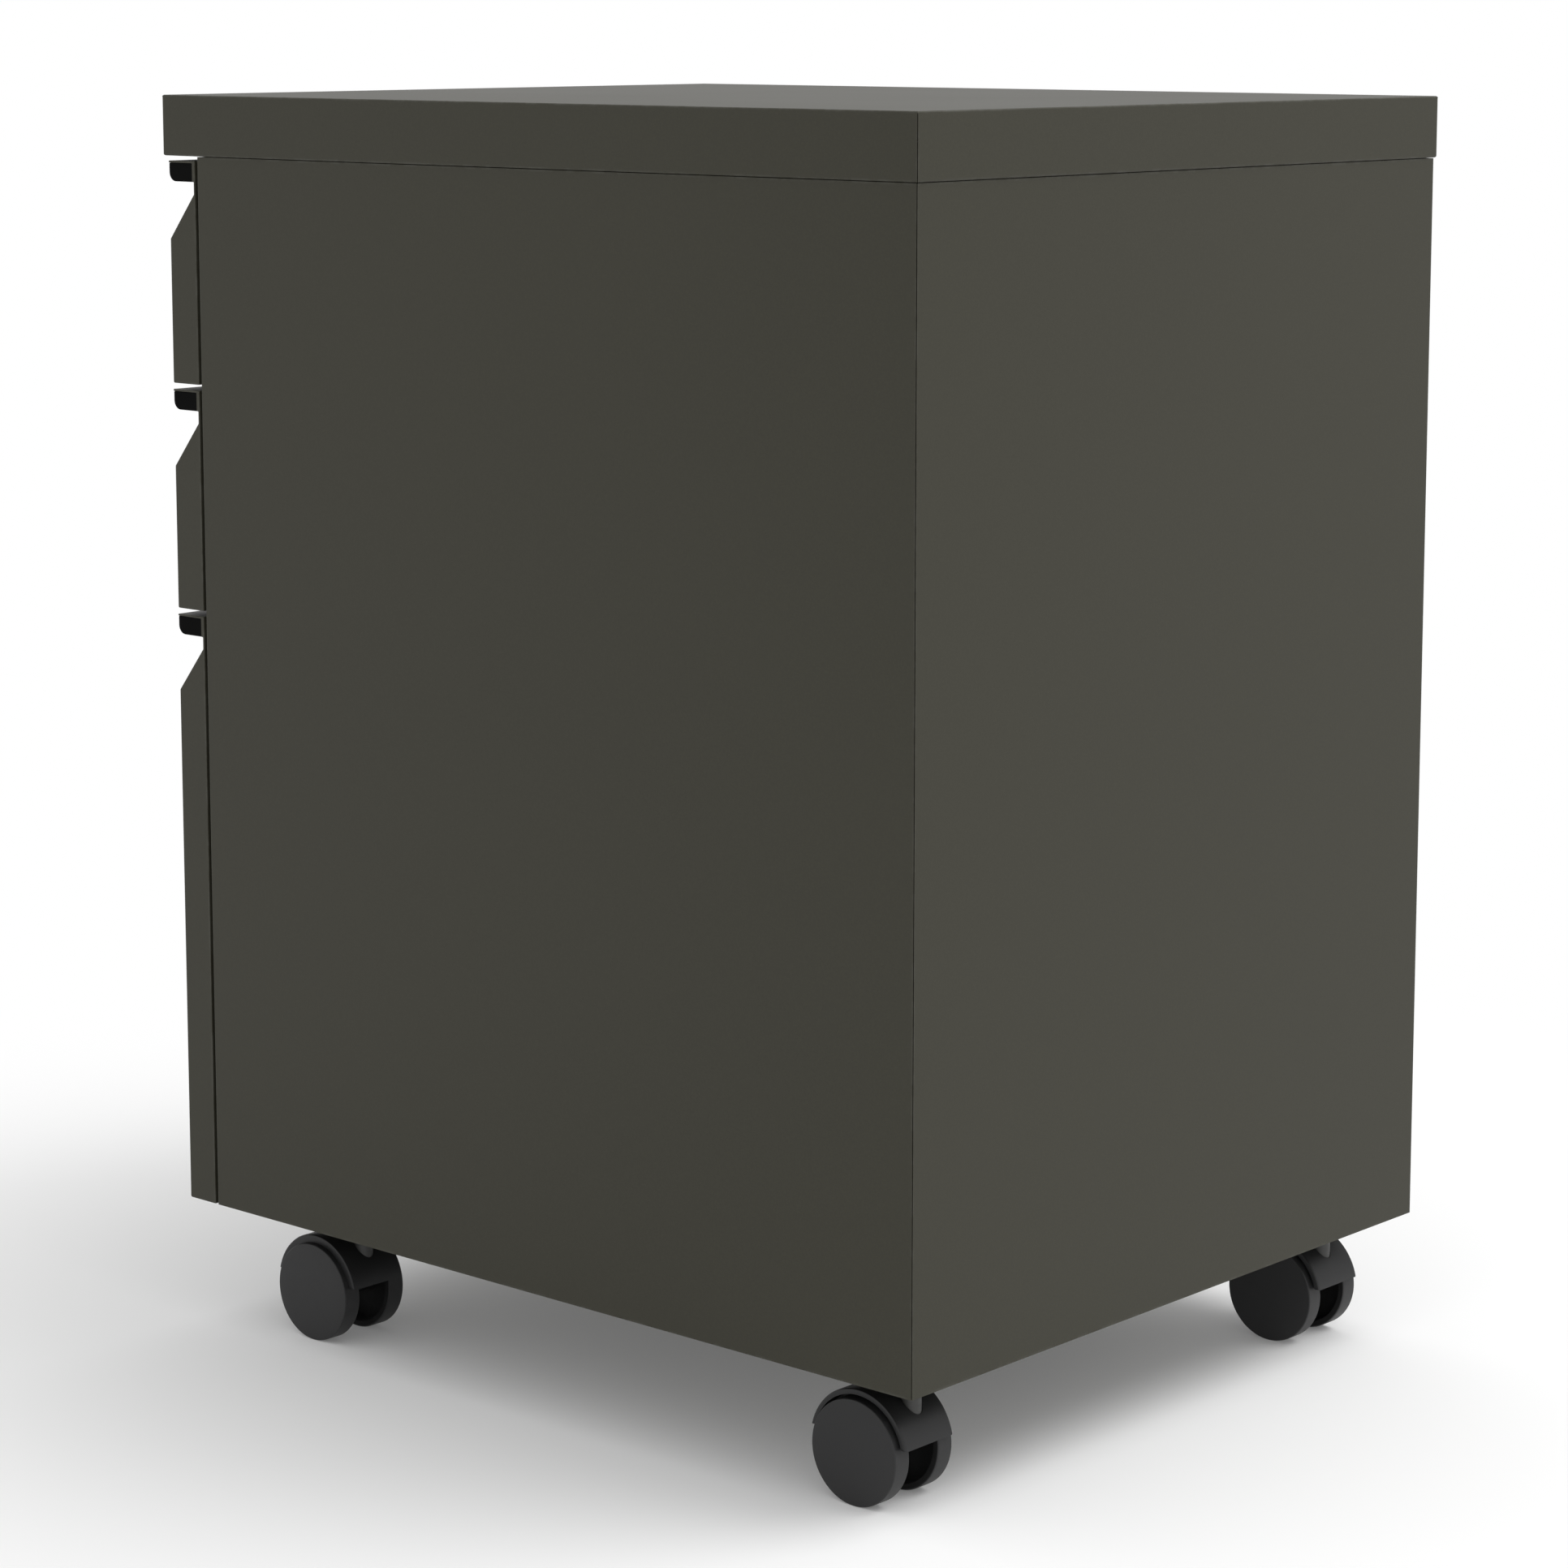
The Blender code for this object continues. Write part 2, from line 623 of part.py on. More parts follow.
def make_wheels(word, swivel):
    """The axle and its two wheels, which are plain discs outside and hollow inside."""
    axle = (0, -TRAIL, AXLE_Z)
    across = (0, pi / 2, 0)
    rod_profile = [
        (0, AXLE_HALF_LENGTH),
        (AXLE_RADIUS, AXLE_HALF_LENGTH),
        (AXLE_RADIUS, -AXLE_HALF_LENGTH),
        (0, -AXLE_HALF_LENGTH),
    ]
    turned(f"caster_{word}_axle", ZINC, rod_profile, ROUND_SIDES, swivel, axle, across)
    bore = AXLE_RADIUS + SEAT
    web = WHEEL_WIDTH - WHEEL_WEB
    profile = [
        (0, WHEEL_WIDTH),
        (WHEEL_RADIUS - WHEEL_EDGE, WHEEL_WIDTH),
        (WHEEL_RADIUS, WHEEL_WIDTH - WHEEL_EDGE),
        (WHEEL_RADIUS, 0),
        (WHEEL_RADIUS - WHEEL_RIM, 0),
        (WHEEL_RADIUS - WHEEL_RIM, web),
        (HUB_RADIUS, web),
        (HUB_RADIUS, 0),
        (bore, 0),
        (bore, web + SEAT),
        (0, web + SEAT),
    ]
    for side_word, side in SIDES.items():
        turn = (0, side * pi / 2, 0)
        start = (side * (CASTER_HALF_WIDTH - WHEEL_WIDTH), -TRAIL, AXLE_Z)
        wheel = turned(
            f"caster_{word}_wheel_{side_word}", TREAD_PLASTIC, profile, WHEEL_SIDES,
            swivel, start, turn,
        )
        # Half a side's turn sets a flat of the tread on the floor.
        wheel.data.transform(Matrix.Rotation(pi / WHEEL_SIDES, 4, "Z"))


def make_casters():
    for word, (x, y) in CASTERS.items():
        swivel = empty(f"caster_{word}", (x, y + TRAIL, 0))
        make_stem(word, swivel)
        make_hood(word, swivel)
        make_wheels(word, swivel)


def make_cabinet():
    make_cap()
    make_side_panels()
    make_back_panel()
    make_base()
    make_cross_members()
    for word, top in zip(("upper", "middle"), SHALLOW_TOPS):
        make_drawer(
            word, top, SHALLOW_HEIGHT, SHALLOW_BOX_DROP, SHALLOW_BOX_HEIGHT, SHALLOW_RUNNER_DROP, 2
        )
    drawer = make_drawer(
        "file", FILE_TOP, FILE_HEIGHT, FILE_BOX_DROP, FILE_BOX_HEIGHT, FILE_RUNNER_DROP, 3
    )
    make_hangers(FILE_BOX_DROP, drawer)
    make_casters()


clear_scene()
PARTS = add_collection("filing_cabinet")
CUTTERS = add_collection("cutters")
make_cabinet()
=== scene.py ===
"""Looks of a three-drawer steel filing pedestal on twin-wheel casters.

Run it as a script in Blender. Every piece is made in metres, in place, from the sizes of the
loaded frame. The drawers face -Y, and +X is on the right of someone who faces them.
"""

from math import cos, hypot, pi, radians, sin

import bmesh
import bpy
from bpy.props import FloatProperty, FloatVectorProperty, IntProperty, PointerProperty
from mathutils import Matrix, Vector


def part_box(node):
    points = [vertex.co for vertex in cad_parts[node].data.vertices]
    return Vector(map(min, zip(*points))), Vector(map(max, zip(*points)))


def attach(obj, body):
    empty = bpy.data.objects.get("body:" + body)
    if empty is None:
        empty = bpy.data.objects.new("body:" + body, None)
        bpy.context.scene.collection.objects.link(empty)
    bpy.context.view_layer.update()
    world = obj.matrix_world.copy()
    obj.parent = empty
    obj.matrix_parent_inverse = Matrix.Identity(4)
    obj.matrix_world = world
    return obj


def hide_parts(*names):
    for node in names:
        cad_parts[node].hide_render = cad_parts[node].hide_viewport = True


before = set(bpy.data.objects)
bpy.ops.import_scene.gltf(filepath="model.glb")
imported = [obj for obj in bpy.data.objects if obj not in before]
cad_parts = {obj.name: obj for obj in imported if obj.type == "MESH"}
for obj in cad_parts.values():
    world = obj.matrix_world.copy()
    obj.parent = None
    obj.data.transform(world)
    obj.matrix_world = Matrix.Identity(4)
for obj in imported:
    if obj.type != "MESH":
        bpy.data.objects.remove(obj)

bl_info = {
    "name": "Steel Filing Pedestal",
    "version": (1, 0, 0),
    "blender": (4, 5, 0),
    "location": "View3D > Sidebar > Pedestal",
    "description": "Builds a three-drawer steel pedestal piece by piece",
    "category": "Object",
}

SIDES = {"left": -1, "right": 1}
DRAWERS = ("upper", "middle", "file")
CASTERS = ("front_left", "front_right", "rear_left", "rear_right")
FIT = 0.0003           # gap between two pieces that fit together
INNER_FOLD = 0.0002    # smallest radius inside a fold
CUT_EDGE = 0.0001      # radius along a sheet's cut ends
ARC_MIDDLE = 0.29      # inset half-way round an edge's arc, as a share of its radius
NOISE_SPAN = (0.3, 0.7)    # where nearly all of a noise's values lie

# The columns are the world directions that an outline's own x, y and z take. An outline for
# "Y" is (x, z), and its thickness runs towards -Y.
PLANES = {
    "X": Matrix(((0, 0, 1, 0), (1, 0, 0, 0), (0, 1, 0, 0), (0, 0, 0, 1))),
    "Y": Matrix(((1, 0, 0, 0), (0, 0, -1, 0), (0, 1, 0, 0), (0, 0, 0, 1))),
    "Z": Matrix.Identity(4),
}


def length(name, default, description):
    """A length that the user can change."""
    return FloatProperty(name=name, description=description, default=default, min=0,
                         unit="LENGTH", subtype="DISTANCE", precision=5)


def colour(name, default, description):
    return FloatVectorProperty(name=name, description=description, default=default,
                               size=3, min=0, max=1, subtype="COLOR")


def share(name, default, description):
    return FloatProperty(name=name, description=description, default=default,
                         min=0, max=1, subtype="FACTOR")


class PedestalSteel(bpy.types.PropertyGroup):
    """Sheet metal and its paint."""

    sheet: length("Sheet", 0.001, "Thickness of the painted steel")
    bend: length("Bend radius", 0.0008, "Outer radius of a fold")
    corner_gap: length("Corner gap", 0.0003, "Open gap where two folded skirts meet")
    panel_gap: length("Panel gap", 0.000225, "Open gap where the back meets a side")
    cap_return: length("Cap return", 0.012, "Flange turned in under the cap")
    front_lip: length("Front lip", 0.025, "Depth of a side panel's inner lip")
    rear_lip: length("Rear lip", 0.035, "Depth of a rear post's inner lip")
    box_bend: length("Drawer box bend", 0.0016, "Outer radius of a drawer box's folds")
    hem: length("Hem", 0.009, "Height of the safety hem inside a drawer's rim")
    channel_sheet: length("Channel sheet", 0.0015, "Thickness of the caster channels")
    channel_bend: length("Channel bend", 0.0022, "Outer radius of a channel's folds")
    channel_foot: length("Channel foot", 0.008, "Width of a channel's flanges")
    paint: colour("Paint", (0.0345, 0.0330, 0.0228), "Grey powder coat")
    worn_paint: colour("Worn paint", (0.075, 0.074, 0.062), "Paint rubbed at an edge")
    wear: share("Edge wear", 0.35, "How much the folded edges are rubbed")
    grain: length("Paint grain", 0.0009, "Width of the powder coat's dimples")
    grain_height: length("Paint grain height", 0.00002, "Depth of the dimples")


class PedestalDrawers(bpy.types.PropertyGroup):
    """Fronts, pulls and runners."""

    front_depth: length("Front depth", 0.019, "From a drawer's flat face to its back edge")
    strip_drop: length("Strip end", 0.0101, "From a drawer's top to the end of the pull's strip")
    slope_drop: length("Slope top", 0.0161, "From a drawer's top to its slope")
    face_drop: length("Face top", 0.0381, "From a drawer's top to its flat face")
    hem: length("Front hem", 0.0012, "Thickness of the strip behind the pull")
    back_return: length("Back return", 0.030, "Sheet left round the opening in a front")
    pull_radius: length("Pull radius", 0.0045, "Radius of the pull's lower edge")
    pull_lip: length("Pull lip", 0.0030, "Thickness of the pull's lip")
    pull_heel: length("Pull heel", 0.0025, "Thickness of the pull at its back")
    pull_end: length("Pull end", 0.0040, "Thickness of the pull's closed ends")
    groove: length("Finger groove", 0.0060, "Depth of the groove under a pull")
    pull_black: colour("Pull", (0.0016, 0.0016, 0.0014), "Black moulded plastic")
    runner_sheet: length("Runner sheet", 0.0012, "Thickness of a runner's members")
    ball: length("Ball", 0.0017, "Radius of a runner's balls")
    ball_pitch: length("Ball pitch", 0.0065, "Distance between two balls")
    cage: length("Ball cage", 0.080, "Length of a runner's ball cage")
    screw: length("Screw head", 0.0036, "Radius of a screw's head")
    zinc: colour("Zinc", (0.40, 0.41, 0.41), "Zinc plate")


class PedestalCasters(bpy.types.PropertyGroup):
    """Twin-wheel casters."""

    hood_wall: length("Hood wall", 0.0025, "Thickness of a hood's curved wall")
    hood_edge: length("Hood edge", 0.0012, "Width of the bevel round a hood's ends")
    guard_rear: FloatProperty(name="Guard rear", default=11.7,
                              description="Degrees above the axle where a hood ends behind")
    guard_front: FloatProperty(name="Guard front", default=167,
                               description="Degrees round to where a hood ends in front")
    rim: length("Wheel rim", 0.0030, "Thickness of a wheel's rim")
    web: length("Wheel web", 0.0025, "Thickness of a wheel's outer disc")
    tread_edge: length("Tread edge", 0.0007, "Radius between a wheel's disc and tread")
    axle_bore: length("Axle bore", 0.0033, "Radius of the holes for an axle")
    thread: length("Thread", 0.0040, "Radius of a stem's thread")
    thread_pitch: length("Thread pitch", 0.00125, "Height of one turn of the thread")
    hood_black: colour("Hood", (0.0140, 0.0140, 0.0145), "Black nylon of the hoods")
    wheel_black: colour("Wheel", (0.0150, 0.0150, 0.0154), "Black nylon of the wheels")
    stem_grey: colour("Stem", (0.050, 0.050, 0.048), "Dull phosphated steel of the stems")
    facets: IntProperty(name="Facets", description="Sides of a wheel", default=96, min=24)


class PedestalStage(bpy.types.PropertyGroup):
    """Floor, light and camera."""

    floor: colour("Floor", (0.86, 0.86, 0.86), "Pale floor")
    floor_near: length("Floor near", 0.30, "Where the floor starts to fade to white")
    floor_far: length("Floor far", 0.85, "Where the floor is fully white")
    glow: share("Floor glow", 0.10, "How much of the near floor's white is its own")
    sky_low: FloatProperty(name="Horizon", description="Light from the horizon", default=0.75)
    sky_high: FloatProperty(name="Zenith", description="Light from above", default=1.0)
    key: FloatProperty(name="Key light", description="Power of the big soft light",
                       default=62, unit="POWER")
    lens: FloatProperty(name="Lens", description="Focal length in millimetres", default=97.2)
    shift: FloatProperty(name="Shift", description="Vertical shift of the frame",
                         default=-0.0944)


# ---------------------------------------------------------------- mesh tools


def settings():
    return bpy.context.scene.pedestal


def finished(bm):
    """A mesh from a bmesh, with its faces pointing out."""
    bmesh.ops.recalc_face_normals(bm, faces=bm.faces)
    mesh = bpy.data.meshes.new("mesh")
    bm.to_mesh(mesh)
    bm.free()
    return mesh


def block(low, high, radius=0.0, keep_sharp="", segments=3):
    """A box with rounded edges, except those along the axes named in keep_sharp."""
    bm = bmesh.new()
    size = [h - l for l, h in zip(low, high)]
    centre = [(h + l) / 2 for l, h in zip(low, high)]
    place = Matrix.Translation(centre) @ Matrix.Diagonal((*size, 1))
    bmesh.ops.create_cube(bm, size=1, matrix=place)
    if radius:
        edges = [
            edge for edge in bm.edges
            if not any(
                abs((edge.verts[0].co - edge.verts[1].co)["XYZ".index(axis)]) > 1e-6
                for axis in keep_sharp
            )
        ]
        bmesh.ops.bevel(bm, geom=edges, offset=radius, segments=segments, profile=0.5,
                        affect="EDGES", clamp_overlap=True)
    return finished(bm)


def arc(radius, start, end, count, centre=(0, 0)):
    """Points along an arc, with its angles in degrees."""
    angles = [radians(start + (end - start) * i / count) for i in range(count + 1)]
    return [(centre[0] + radius * cos(a), centre[1] + radius * sin(a)) for a in angles]


def rounded(points, radius, closed=True, steps=4):
    """An outline with an arc of the radius at each corner; radius may be one per corner."""
    radii = radius if isinstance(radius, (list, tuple)) else [radius] * len(points)
    result = []
    count = len(points)
    for i, point in enumerate(points):
        here = Vector(point)
        if not radii[i] or (not closed and i in (0, count - 1)):
            result.append(tuple(here))
            continue
        before = (Vector(points[i - 1]) - here).normalized()
        after = (Vector(points[(i + 1) % count]) - here).normalized()
        half = before.angle(after) / 2
        if half > pi / 2 - 0.01:    # the outline runs straight on here
            result.append(tuple(here))
            continue
        centre = here + (before + after).normalized() * radii[i] / sin(half)
        reach = radii[i] * cos(half) / sin(half)
        first = here + before * reach - centre
        last = here + after * reach - centre
        sweep = first.angle_signed(last)
        for step in range(steps + 1):
            turn = Matrix.Rotation(-sweep * step / steps, 2)
            result.append(tuple(centre + turn @ first))
    return result


def offset_path(path, distance):
    """The path moved to its left by a distance, with its corners kept sharp."""
    result = []
    for i, point in enumerate(path):
        here = Vector(point)
        normals = []
        for a, b in ((i - 1, i), (i, i + 1)):
            if 0 <= a and b < len(path):
                along = (Vector(path[b]) - Vector(path[a])).normalized()
                normals.append(Vector((-along.y, along.x)))
        miter = (normals[0] + normals[-1]).normalized()
        result.append(tuple(here + miter * distance / miter.dot(normals[0])))
    return result


def sheet_outline(path, thickness, bend):
    """The section of a sheet folded along a path, which lies to the path's left."""
    outer, inner = [], []
    turned = offset_path(path, thickness)
    for i in range(len(path)):
        if i in (0, len(path) - 1):
            outer.append(0)
            inner.append(0)
            continue
        a = Vector(path[i]) - Vector(path[i - 1])
        b = Vector(path[i + 1]) - Vector(path[i])
        left_turn = a.cross(b) > 0
        tight = max(bend - thickness, INNER_FOLD)
        outer.append(bend if left_turn else tight)
        inner.append(tight if left_turn else bend)
    return rounded(path, outer, False) + rounded(turned, inner, False)[::-1]


def lofted(rings, axis):
    """A closed shape through outlines of as many points each, given as (outline, height)."""
    bm = bmesh.new()
    loops = [[bm.verts.new((x, y, height)) for x, y in outline] for outline, height in rings]
    for below, above in zip(loops, loops[1:]):
        count = len(below)
        for i in range(count):
            j = (i + 1) % count
            bm.faces.new((below[i], below[j], above[j], above[i]))
    bm.faces.new(loops[0][::-1])
    bm.faces.new(loops[-1])
    bm.transform(PLANES[axis])
    return finished(bm)


def inset(outline, distance):
    """A closed outline moved inwards by a distance, with as many points."""
    count = len(outline)
    points = [Vector(point) for point in outline]
    area = sum(points[i - 1].cross(points[i]) for i in range(count))
    result = []
    for i, point in enumerate(points):
        before = (point - points[i - 1]).normalized()
        after = (points[(i + 1) % count] - point).normalized()
        normals = [Vector((-along.y, along.x)) for along in (before, after)]
        miter = (normals[0] + normals[1]).normalized()
        reach = distance / miter.dot(normals[0])
        result.append(tuple(point + miter * (reach if area > 0 else -reach)))
    return result


def extruded(section, axis, low, high, edge):
    """A section given a length along an axis, with its end edges rounded.

    section(inner) is the section's outline moved inwards by that much.
    """
    middle = ARC_MIDDLE * edge
    steps = [(0, edge), (middle, middle), (edge, 0)] if edge else [(0, 0)]
    rings = [(section(inner), low + depth) for depth, inner in steps]
    rings += [(section(inner), high - depth) for depth, inner in reversed(steps)]
    return lofted(rings, axis)


def prism(outline, axis, low, high, edge=0.0):
    """A closed outline given a length; edge is less than the outline's smallest radius."""
    return extruded(lambda inner: inset(outline, inner), axis, low, high, edge)


def lathe(profile, facets, place):
    """A profile of (radius, height) pairs spun about the place's Z."""
    bm = bmesh.new()
    points = [bm.verts.new((radius, 0, height)) for radius, height in profile]
    edges = [bm.edges.new(pair) for pair in zip(points, points[1:])]
    bmesh.ops.spin(bm, geom=points + edges, cent=(0, 0, 0), axis=(0, 0, 1),
                   angle=2 * pi, steps=facets, use_merge=True)
    bmesh.ops.remove_doubles(bm, verts=bm.verts, dist=1e-6)
    bm.transform(place)
    return finished(bm)


def spun(profile, axis, centre, facets):
    """A profile spun about an axis through a centre given in the other two."""
    return lathe(profile, facets, PLANES[axis] @ Matrix.Translation((*centre, 0)))


def rod(radius, low, high, axis, centre, facets=48):
    """A cylinder along an axis."""
    return spun([(0, high), (radius, high), (radius, low), (0, low)], axis, centre, facets)


def joined(meshes):
    """Several closed meshes as one."""
    bm = bmesh.new()
    for mesh in meshes:
        bm.from_mesh(mesh)
        bpy.data.meshes.remove(mesh)
    return finished(bm)


def carved(mesh, cuts=(), additions=()):
    """A mesh with the additions joined to it, and the cuts then taken from it."""
    blank = bpy.data.objects.new("blank", mesh)
    scene = bpy.context.scene.collection
    scene.objects.link(blank)
    tools = []
    for operation, others in (("UNION", additions), ("DIFFERENCE", cuts)):
        for other in others:
            tool = bpy.data.objects.new("tool", other)
            scene.objects.link(tool)
            tools.append(tool)
            modifier = blank.modifiers.new(operation.lower(), "BOOLEAN")
            modifier.operation = operation
            modifier.solver = "EXACT"
            modifier.object = tool
    graph = bpy.context.evaluated_depsgraph_get()
    result = bpy.data.meshes.new_from_object(blank.evaluated_get(graph))
    for obj in [blank, *tools]:
        data = obj.data
        bpy.data.objects.remove(obj)
        bpy.data.meshes.remove(data)
    if not result.polygons:
        raise RuntimeError("A cut left nothing of the piece")
    return result


def place_piece(name, mesh, material, body, nodes, smooth=30):
    """Show a mesh as a finished piece that moves with a body and stands for frame nodes."""
    mesh.name = name
    mesh.materials.clear()
    mesh.materials.append(material)
    mesh.shade_smooth()
    mesh.set_sharp_from_angle(angle=radians(smooth))
    piece = bpy.data.objects.new(name, mesh)
    bpy.context.scene.collection.objects.link(piece)
    shading = piece.modifiers.new("even_shading", "WEIGHTED_NORMAL")
    shading.weight = 100
    shading.keep_sharp = True
    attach(piece, body)
    if nodes:
        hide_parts(*nodes)


# ------------------------------------------------------------------ finishes


def add_node(tree, kind, inputs=None, **options):
    """A node with its sockets set or linked; inputs are keyed by name or by position."""
    node = tree.nodes.new(kind)
    for key, value in options.items():
        setattr(node, key, value)
    for key, value in (inputs or {}).items():
        if isinstance(value, bpy.types.NodeSocket):
            tree.links.new(value, node.inputs[key])
        else:
            node.inputs[key].default_value = value
    return node


def math_node(tree, operation, *values):
    node = add_node(tree, "ShaderNodeMath", dict(enumerate(values)), operation=operation)
    return node.outputs[0]


def product(tree, first, second):
    return math_node(tree, "MULTIPLY", first, second)


def vector_node(tree, operation, *values):
    return add_node(tree, "ShaderNodeVectorMath", dict(enumerate(values)), operation=operation)


def ramp(tree, value, low, high, to_low=0.0, to_high=1.0):
    """A value carried smoothly from one range to another."""
    node = add_node(
        tree, "ShaderNodeMapRange",
        {"Value": value, "From Min": low, "From Max": high, "To Min": to_low,
         "To Max": to_high},
        interpolation_type="SMOOTHSTEP",
    )
    return node.outputs["Result"]


def mixed(tree, factor, first, second):
    """A colour between two others."""
    node = add_node(tree, "ShaderNodeMix", data_type="RGBA")
    for index, value in ((0, factor), (6, first), (7, second)):
        if isinstance(value, bpy.types.NodeSocket):
            tree.links.new(value, node.inputs[index])
        else:
            node.inputs[index].default_value = (*value, 1) if index else value
    return node.outputs[2]


def tinted(tree, factor, tone, darkest, lightest):
    """A tone that varies between two shares of itself."""
    return mixed(tree, factor, Vector(tone) * darkest, Vector(tone) * lightest)


def noise(tree, vector, size, detail=2.0, roughness=0.5):
    """Noise whose features are about as wide as size, in metres."""
    node = add_node(
        tree, "ShaderNodeTexNoise",
        {"Vector": vector, "Scale": 1 / size, "Detail": detail, "Roughness": roughness},
    )
    return node.outputs["Fac"]


def new_finish(name, base, roughness, metallic=0.0, specular=0.5):
    """A material with its shader, its tree and its object coordinates."""
    material = bpy.data.materials.new(name)
    material.use_nodes = True
    tree = material.node_tree
    shader = tree.nodes["Principled BSDF"]
    shader.inputs["Base Color"].default_value = (*base, 1)
    shader.inputs["Roughness"].default_value = roughness
    shader.inputs["Metallic"].default_value = metallic
    shader.inputs["Specular IOR Level"].default_value = specular
    coordinates = tree.nodes.new("ShaderNodeTexCoord").outputs["Object"]
    return material, tree, shader, coordinates


def surface(tree, shader, base, roughness, height, distance):
    """Give the shader its colour, its roughness and a bump of that depth."""
    bump = add_node(tree, "ShaderNodeBump", {"Height": height, "Distance": distance})
    links = {"Base Color": base, "Roughness": roughness, "Normal": bump.outputs["Normal"]}
    for name, socket in links.items():
        if socket is not None:
            tree.links.new(socket, shader.inputs[name])


def edge_nearness(tree, coordinates, low, high):
    """How far a point of a box-shaped piece lies from the piece's nearest edge.

    One of the three distances to the box's sides is nearly nothing on its surface, so the
    middle one of the three is the distance to an edge.
    """
    centre = (Vector(low) + Vector(high)) / 2
    half = (Vector(high) - Vector(low)) / 2
    shifted = vector_node(tree, "SUBTRACT", coordinates, centre).outputs[0]
    away = vector_node(tree, "ABSOLUTE", shifted).outputs[0]
    inside = vector_node(tree, "SUBTRACT", half, away).outputs[0]
    parts = add_node(tree, "ShaderNodeSeparateXYZ", {0: inside}).outputs
    low_pair = math_node(tree, "MINIMUM", parts[0], parts[1])
    high_pair = math_node(tree, "MAXIMUM", parts[0], parts[1])
    return math_node(tree, "MAXIMUM", low_pair, math_node(tree, "MINIMUM", high_pair, parts[2]))


def powder_coat(name, low, high):
    """Fine-textured grey paint, a little rubbed along the edges of the piece's box."""
    steel = settings().steel
    material, tree, shader, coordinates = new_finish(name, steel.paint, 0.46, 0.0, 0.22)
    dimples = noise(tree, coordinates, steel.grain, 2.5, 0.6)
    cloud = noise(tree, coordinates, 0.22, 2.0, 0.5)
    scuffs = ramp(tree, noise(tree, coordinates, 0.012, 4.0, 0.7), 0.42, 0.62)
    fully_rubbed, last_rubbed = 0.0003, 0.0014    # distances from an edge
    nearness = edge_nearness(tree, coordinates, low, high)
    edge = ramp(tree, nearness, fully_rubbed, last_rubbed, 1.0, 0.0)
    rubbed = product(tree, product(tree, edge, scuffs), steel.wear)
    paint = tinted(tree, ramp(tree, cloud, *NOISE_SPAN), steel.paint, 0.98, 1.02)
    speckled = mixed(tree, ramp(tree, dimples, 0.35, 0.75, 0.0, 0.25), paint,
                     Vector(steel.paint) * 1.5)
    coloured = mixed(tree, rubbed, speckled, steel.worn_paint)
    gloss = ramp(tree, cloud, *NOISE_SPAN, 0.45, 0.47)
    worn_gloss = math_node(tree, "SUBTRACT", gloss, product(tree, rubbed, 0.15))
    surface(tree, shader, coloured, worn_gloss, dimples, steel.grain_height)
    return material


def moulded_plastic(name, base, roughness, specular, grain):
    """Moulded plastic with the fine grain of a spark-eroded tool and faint handling marks."""
    grain_height = 0.00002
    material, tree, shader, coordinates = new_finish(name, base, roughness, 0.0, specular)
    cells = add_node(tree, "ShaderNodeTexVoronoi", {"Vector": coordinates, "Scale": 1 / grain})
    fine = noise(tree, coordinates, grain / 2, 2.0, 0.6)
    marks = noise(tree, coordinates, 0.02, 5.0, 0.65)
    height = math_node(tree, "ADD", cells.outputs["Distance"], product(tree, fine, 0.5))
    coloured = tinted(tree, ramp(tree, marks, 0.35, 0.7), base, 0.92, 1.12)
    gloss = ramp(tree, marks, 0.35, 0.7, roughness - 0.04, roughness + 0.05)
    surface(tree, shader, coloured, gloss, height, grain_height)
    return material


def wheel_nylon(name, centre, outer):
    """Moulded nylon with faint rings about the axle, a dusty tread and a painted shade inside,
    where it is also matt.

    outer is how far the wheel's outer disc lies from the middle of its caster.
    """
    tone = settings().casters.wheel_black
    ring_pitch, ring_height = 0.0006, 0.00001
    tread_start, tread_full = 0.0238, 0.0244    # radii
    # radii where the painted shade on the wheel's inside is full and where it ends
    shade_full, shade_end = 0.0236, 0.0242
    disc_back, disc_middle = outer - 0.0016, outer - 0.0012
    material, tree, shader, coordinates = new_finish(name, tone, 0.5, 0.0, 0.4)
    moved = vector_node(tree, "SUBTRACT", coordinates, centre).outputs[0]
    along, y, z = add_node(tree, "ShaderNodeSeparateXYZ", {0: moved}).outputs
    radius = math_node(tree, "SQRT", math_node(tree, "ADD", product(tree, y, y),
                                               product(tree, z, z)))
    rings = math_node(tree, "SINE", product(tree, radius, 2 * pi / ring_pitch))
    grain = noise(tree, coordinates, 0.0004, 2.0, 0.6)
    marks = noise(tree, coordinates, 0.006, 4.0, 0.65)
    tread = ramp(tree, radius, tread_start, tread_full)
    dust = product(tree, tread, ramp(tree, marks, 0.4, 0.7, 0.1, 0.5))
    clean = tinted(tree, ramp(tree, marks, *NOISE_SPAN), tone, 0.94, 1.08)
    dusty = mixed(tree, dust, clean, Vector(tone) * 2.0)
    off_middle = math_node(tree, "ABSOLUTE", along)
    shade_behind_disc = ramp(tree, off_middle, disc_back, disc_middle, 1.0, 0.0)
    shade_within = ramp(tree, radius, shade_full, shade_end, 1.0, 0.0)
    inside = product(tree, shade_behind_disc, shade_within)
    # painted shade: the wheel's inside, behind its outer disc and within its rim, lies in the
    # shade of the hood and the other wheel; there the nylon is darkened to a fifth of its tone and
    # made rougher
    coloured = mixed(tree, inside, dusty, Vector(tone) * 0.2)
    gloss = math_node(tree, "ADD", ramp(tree, marks, *NOISE_SPAN, 0.46, 0.54),
                      product(tree, inside, 0.35))
    height = math_node(tree, "ADD", product(tree, rings, 0.12), grain)
    surface(tree, shader, coloured, gloss, height, ring_height)
    return material


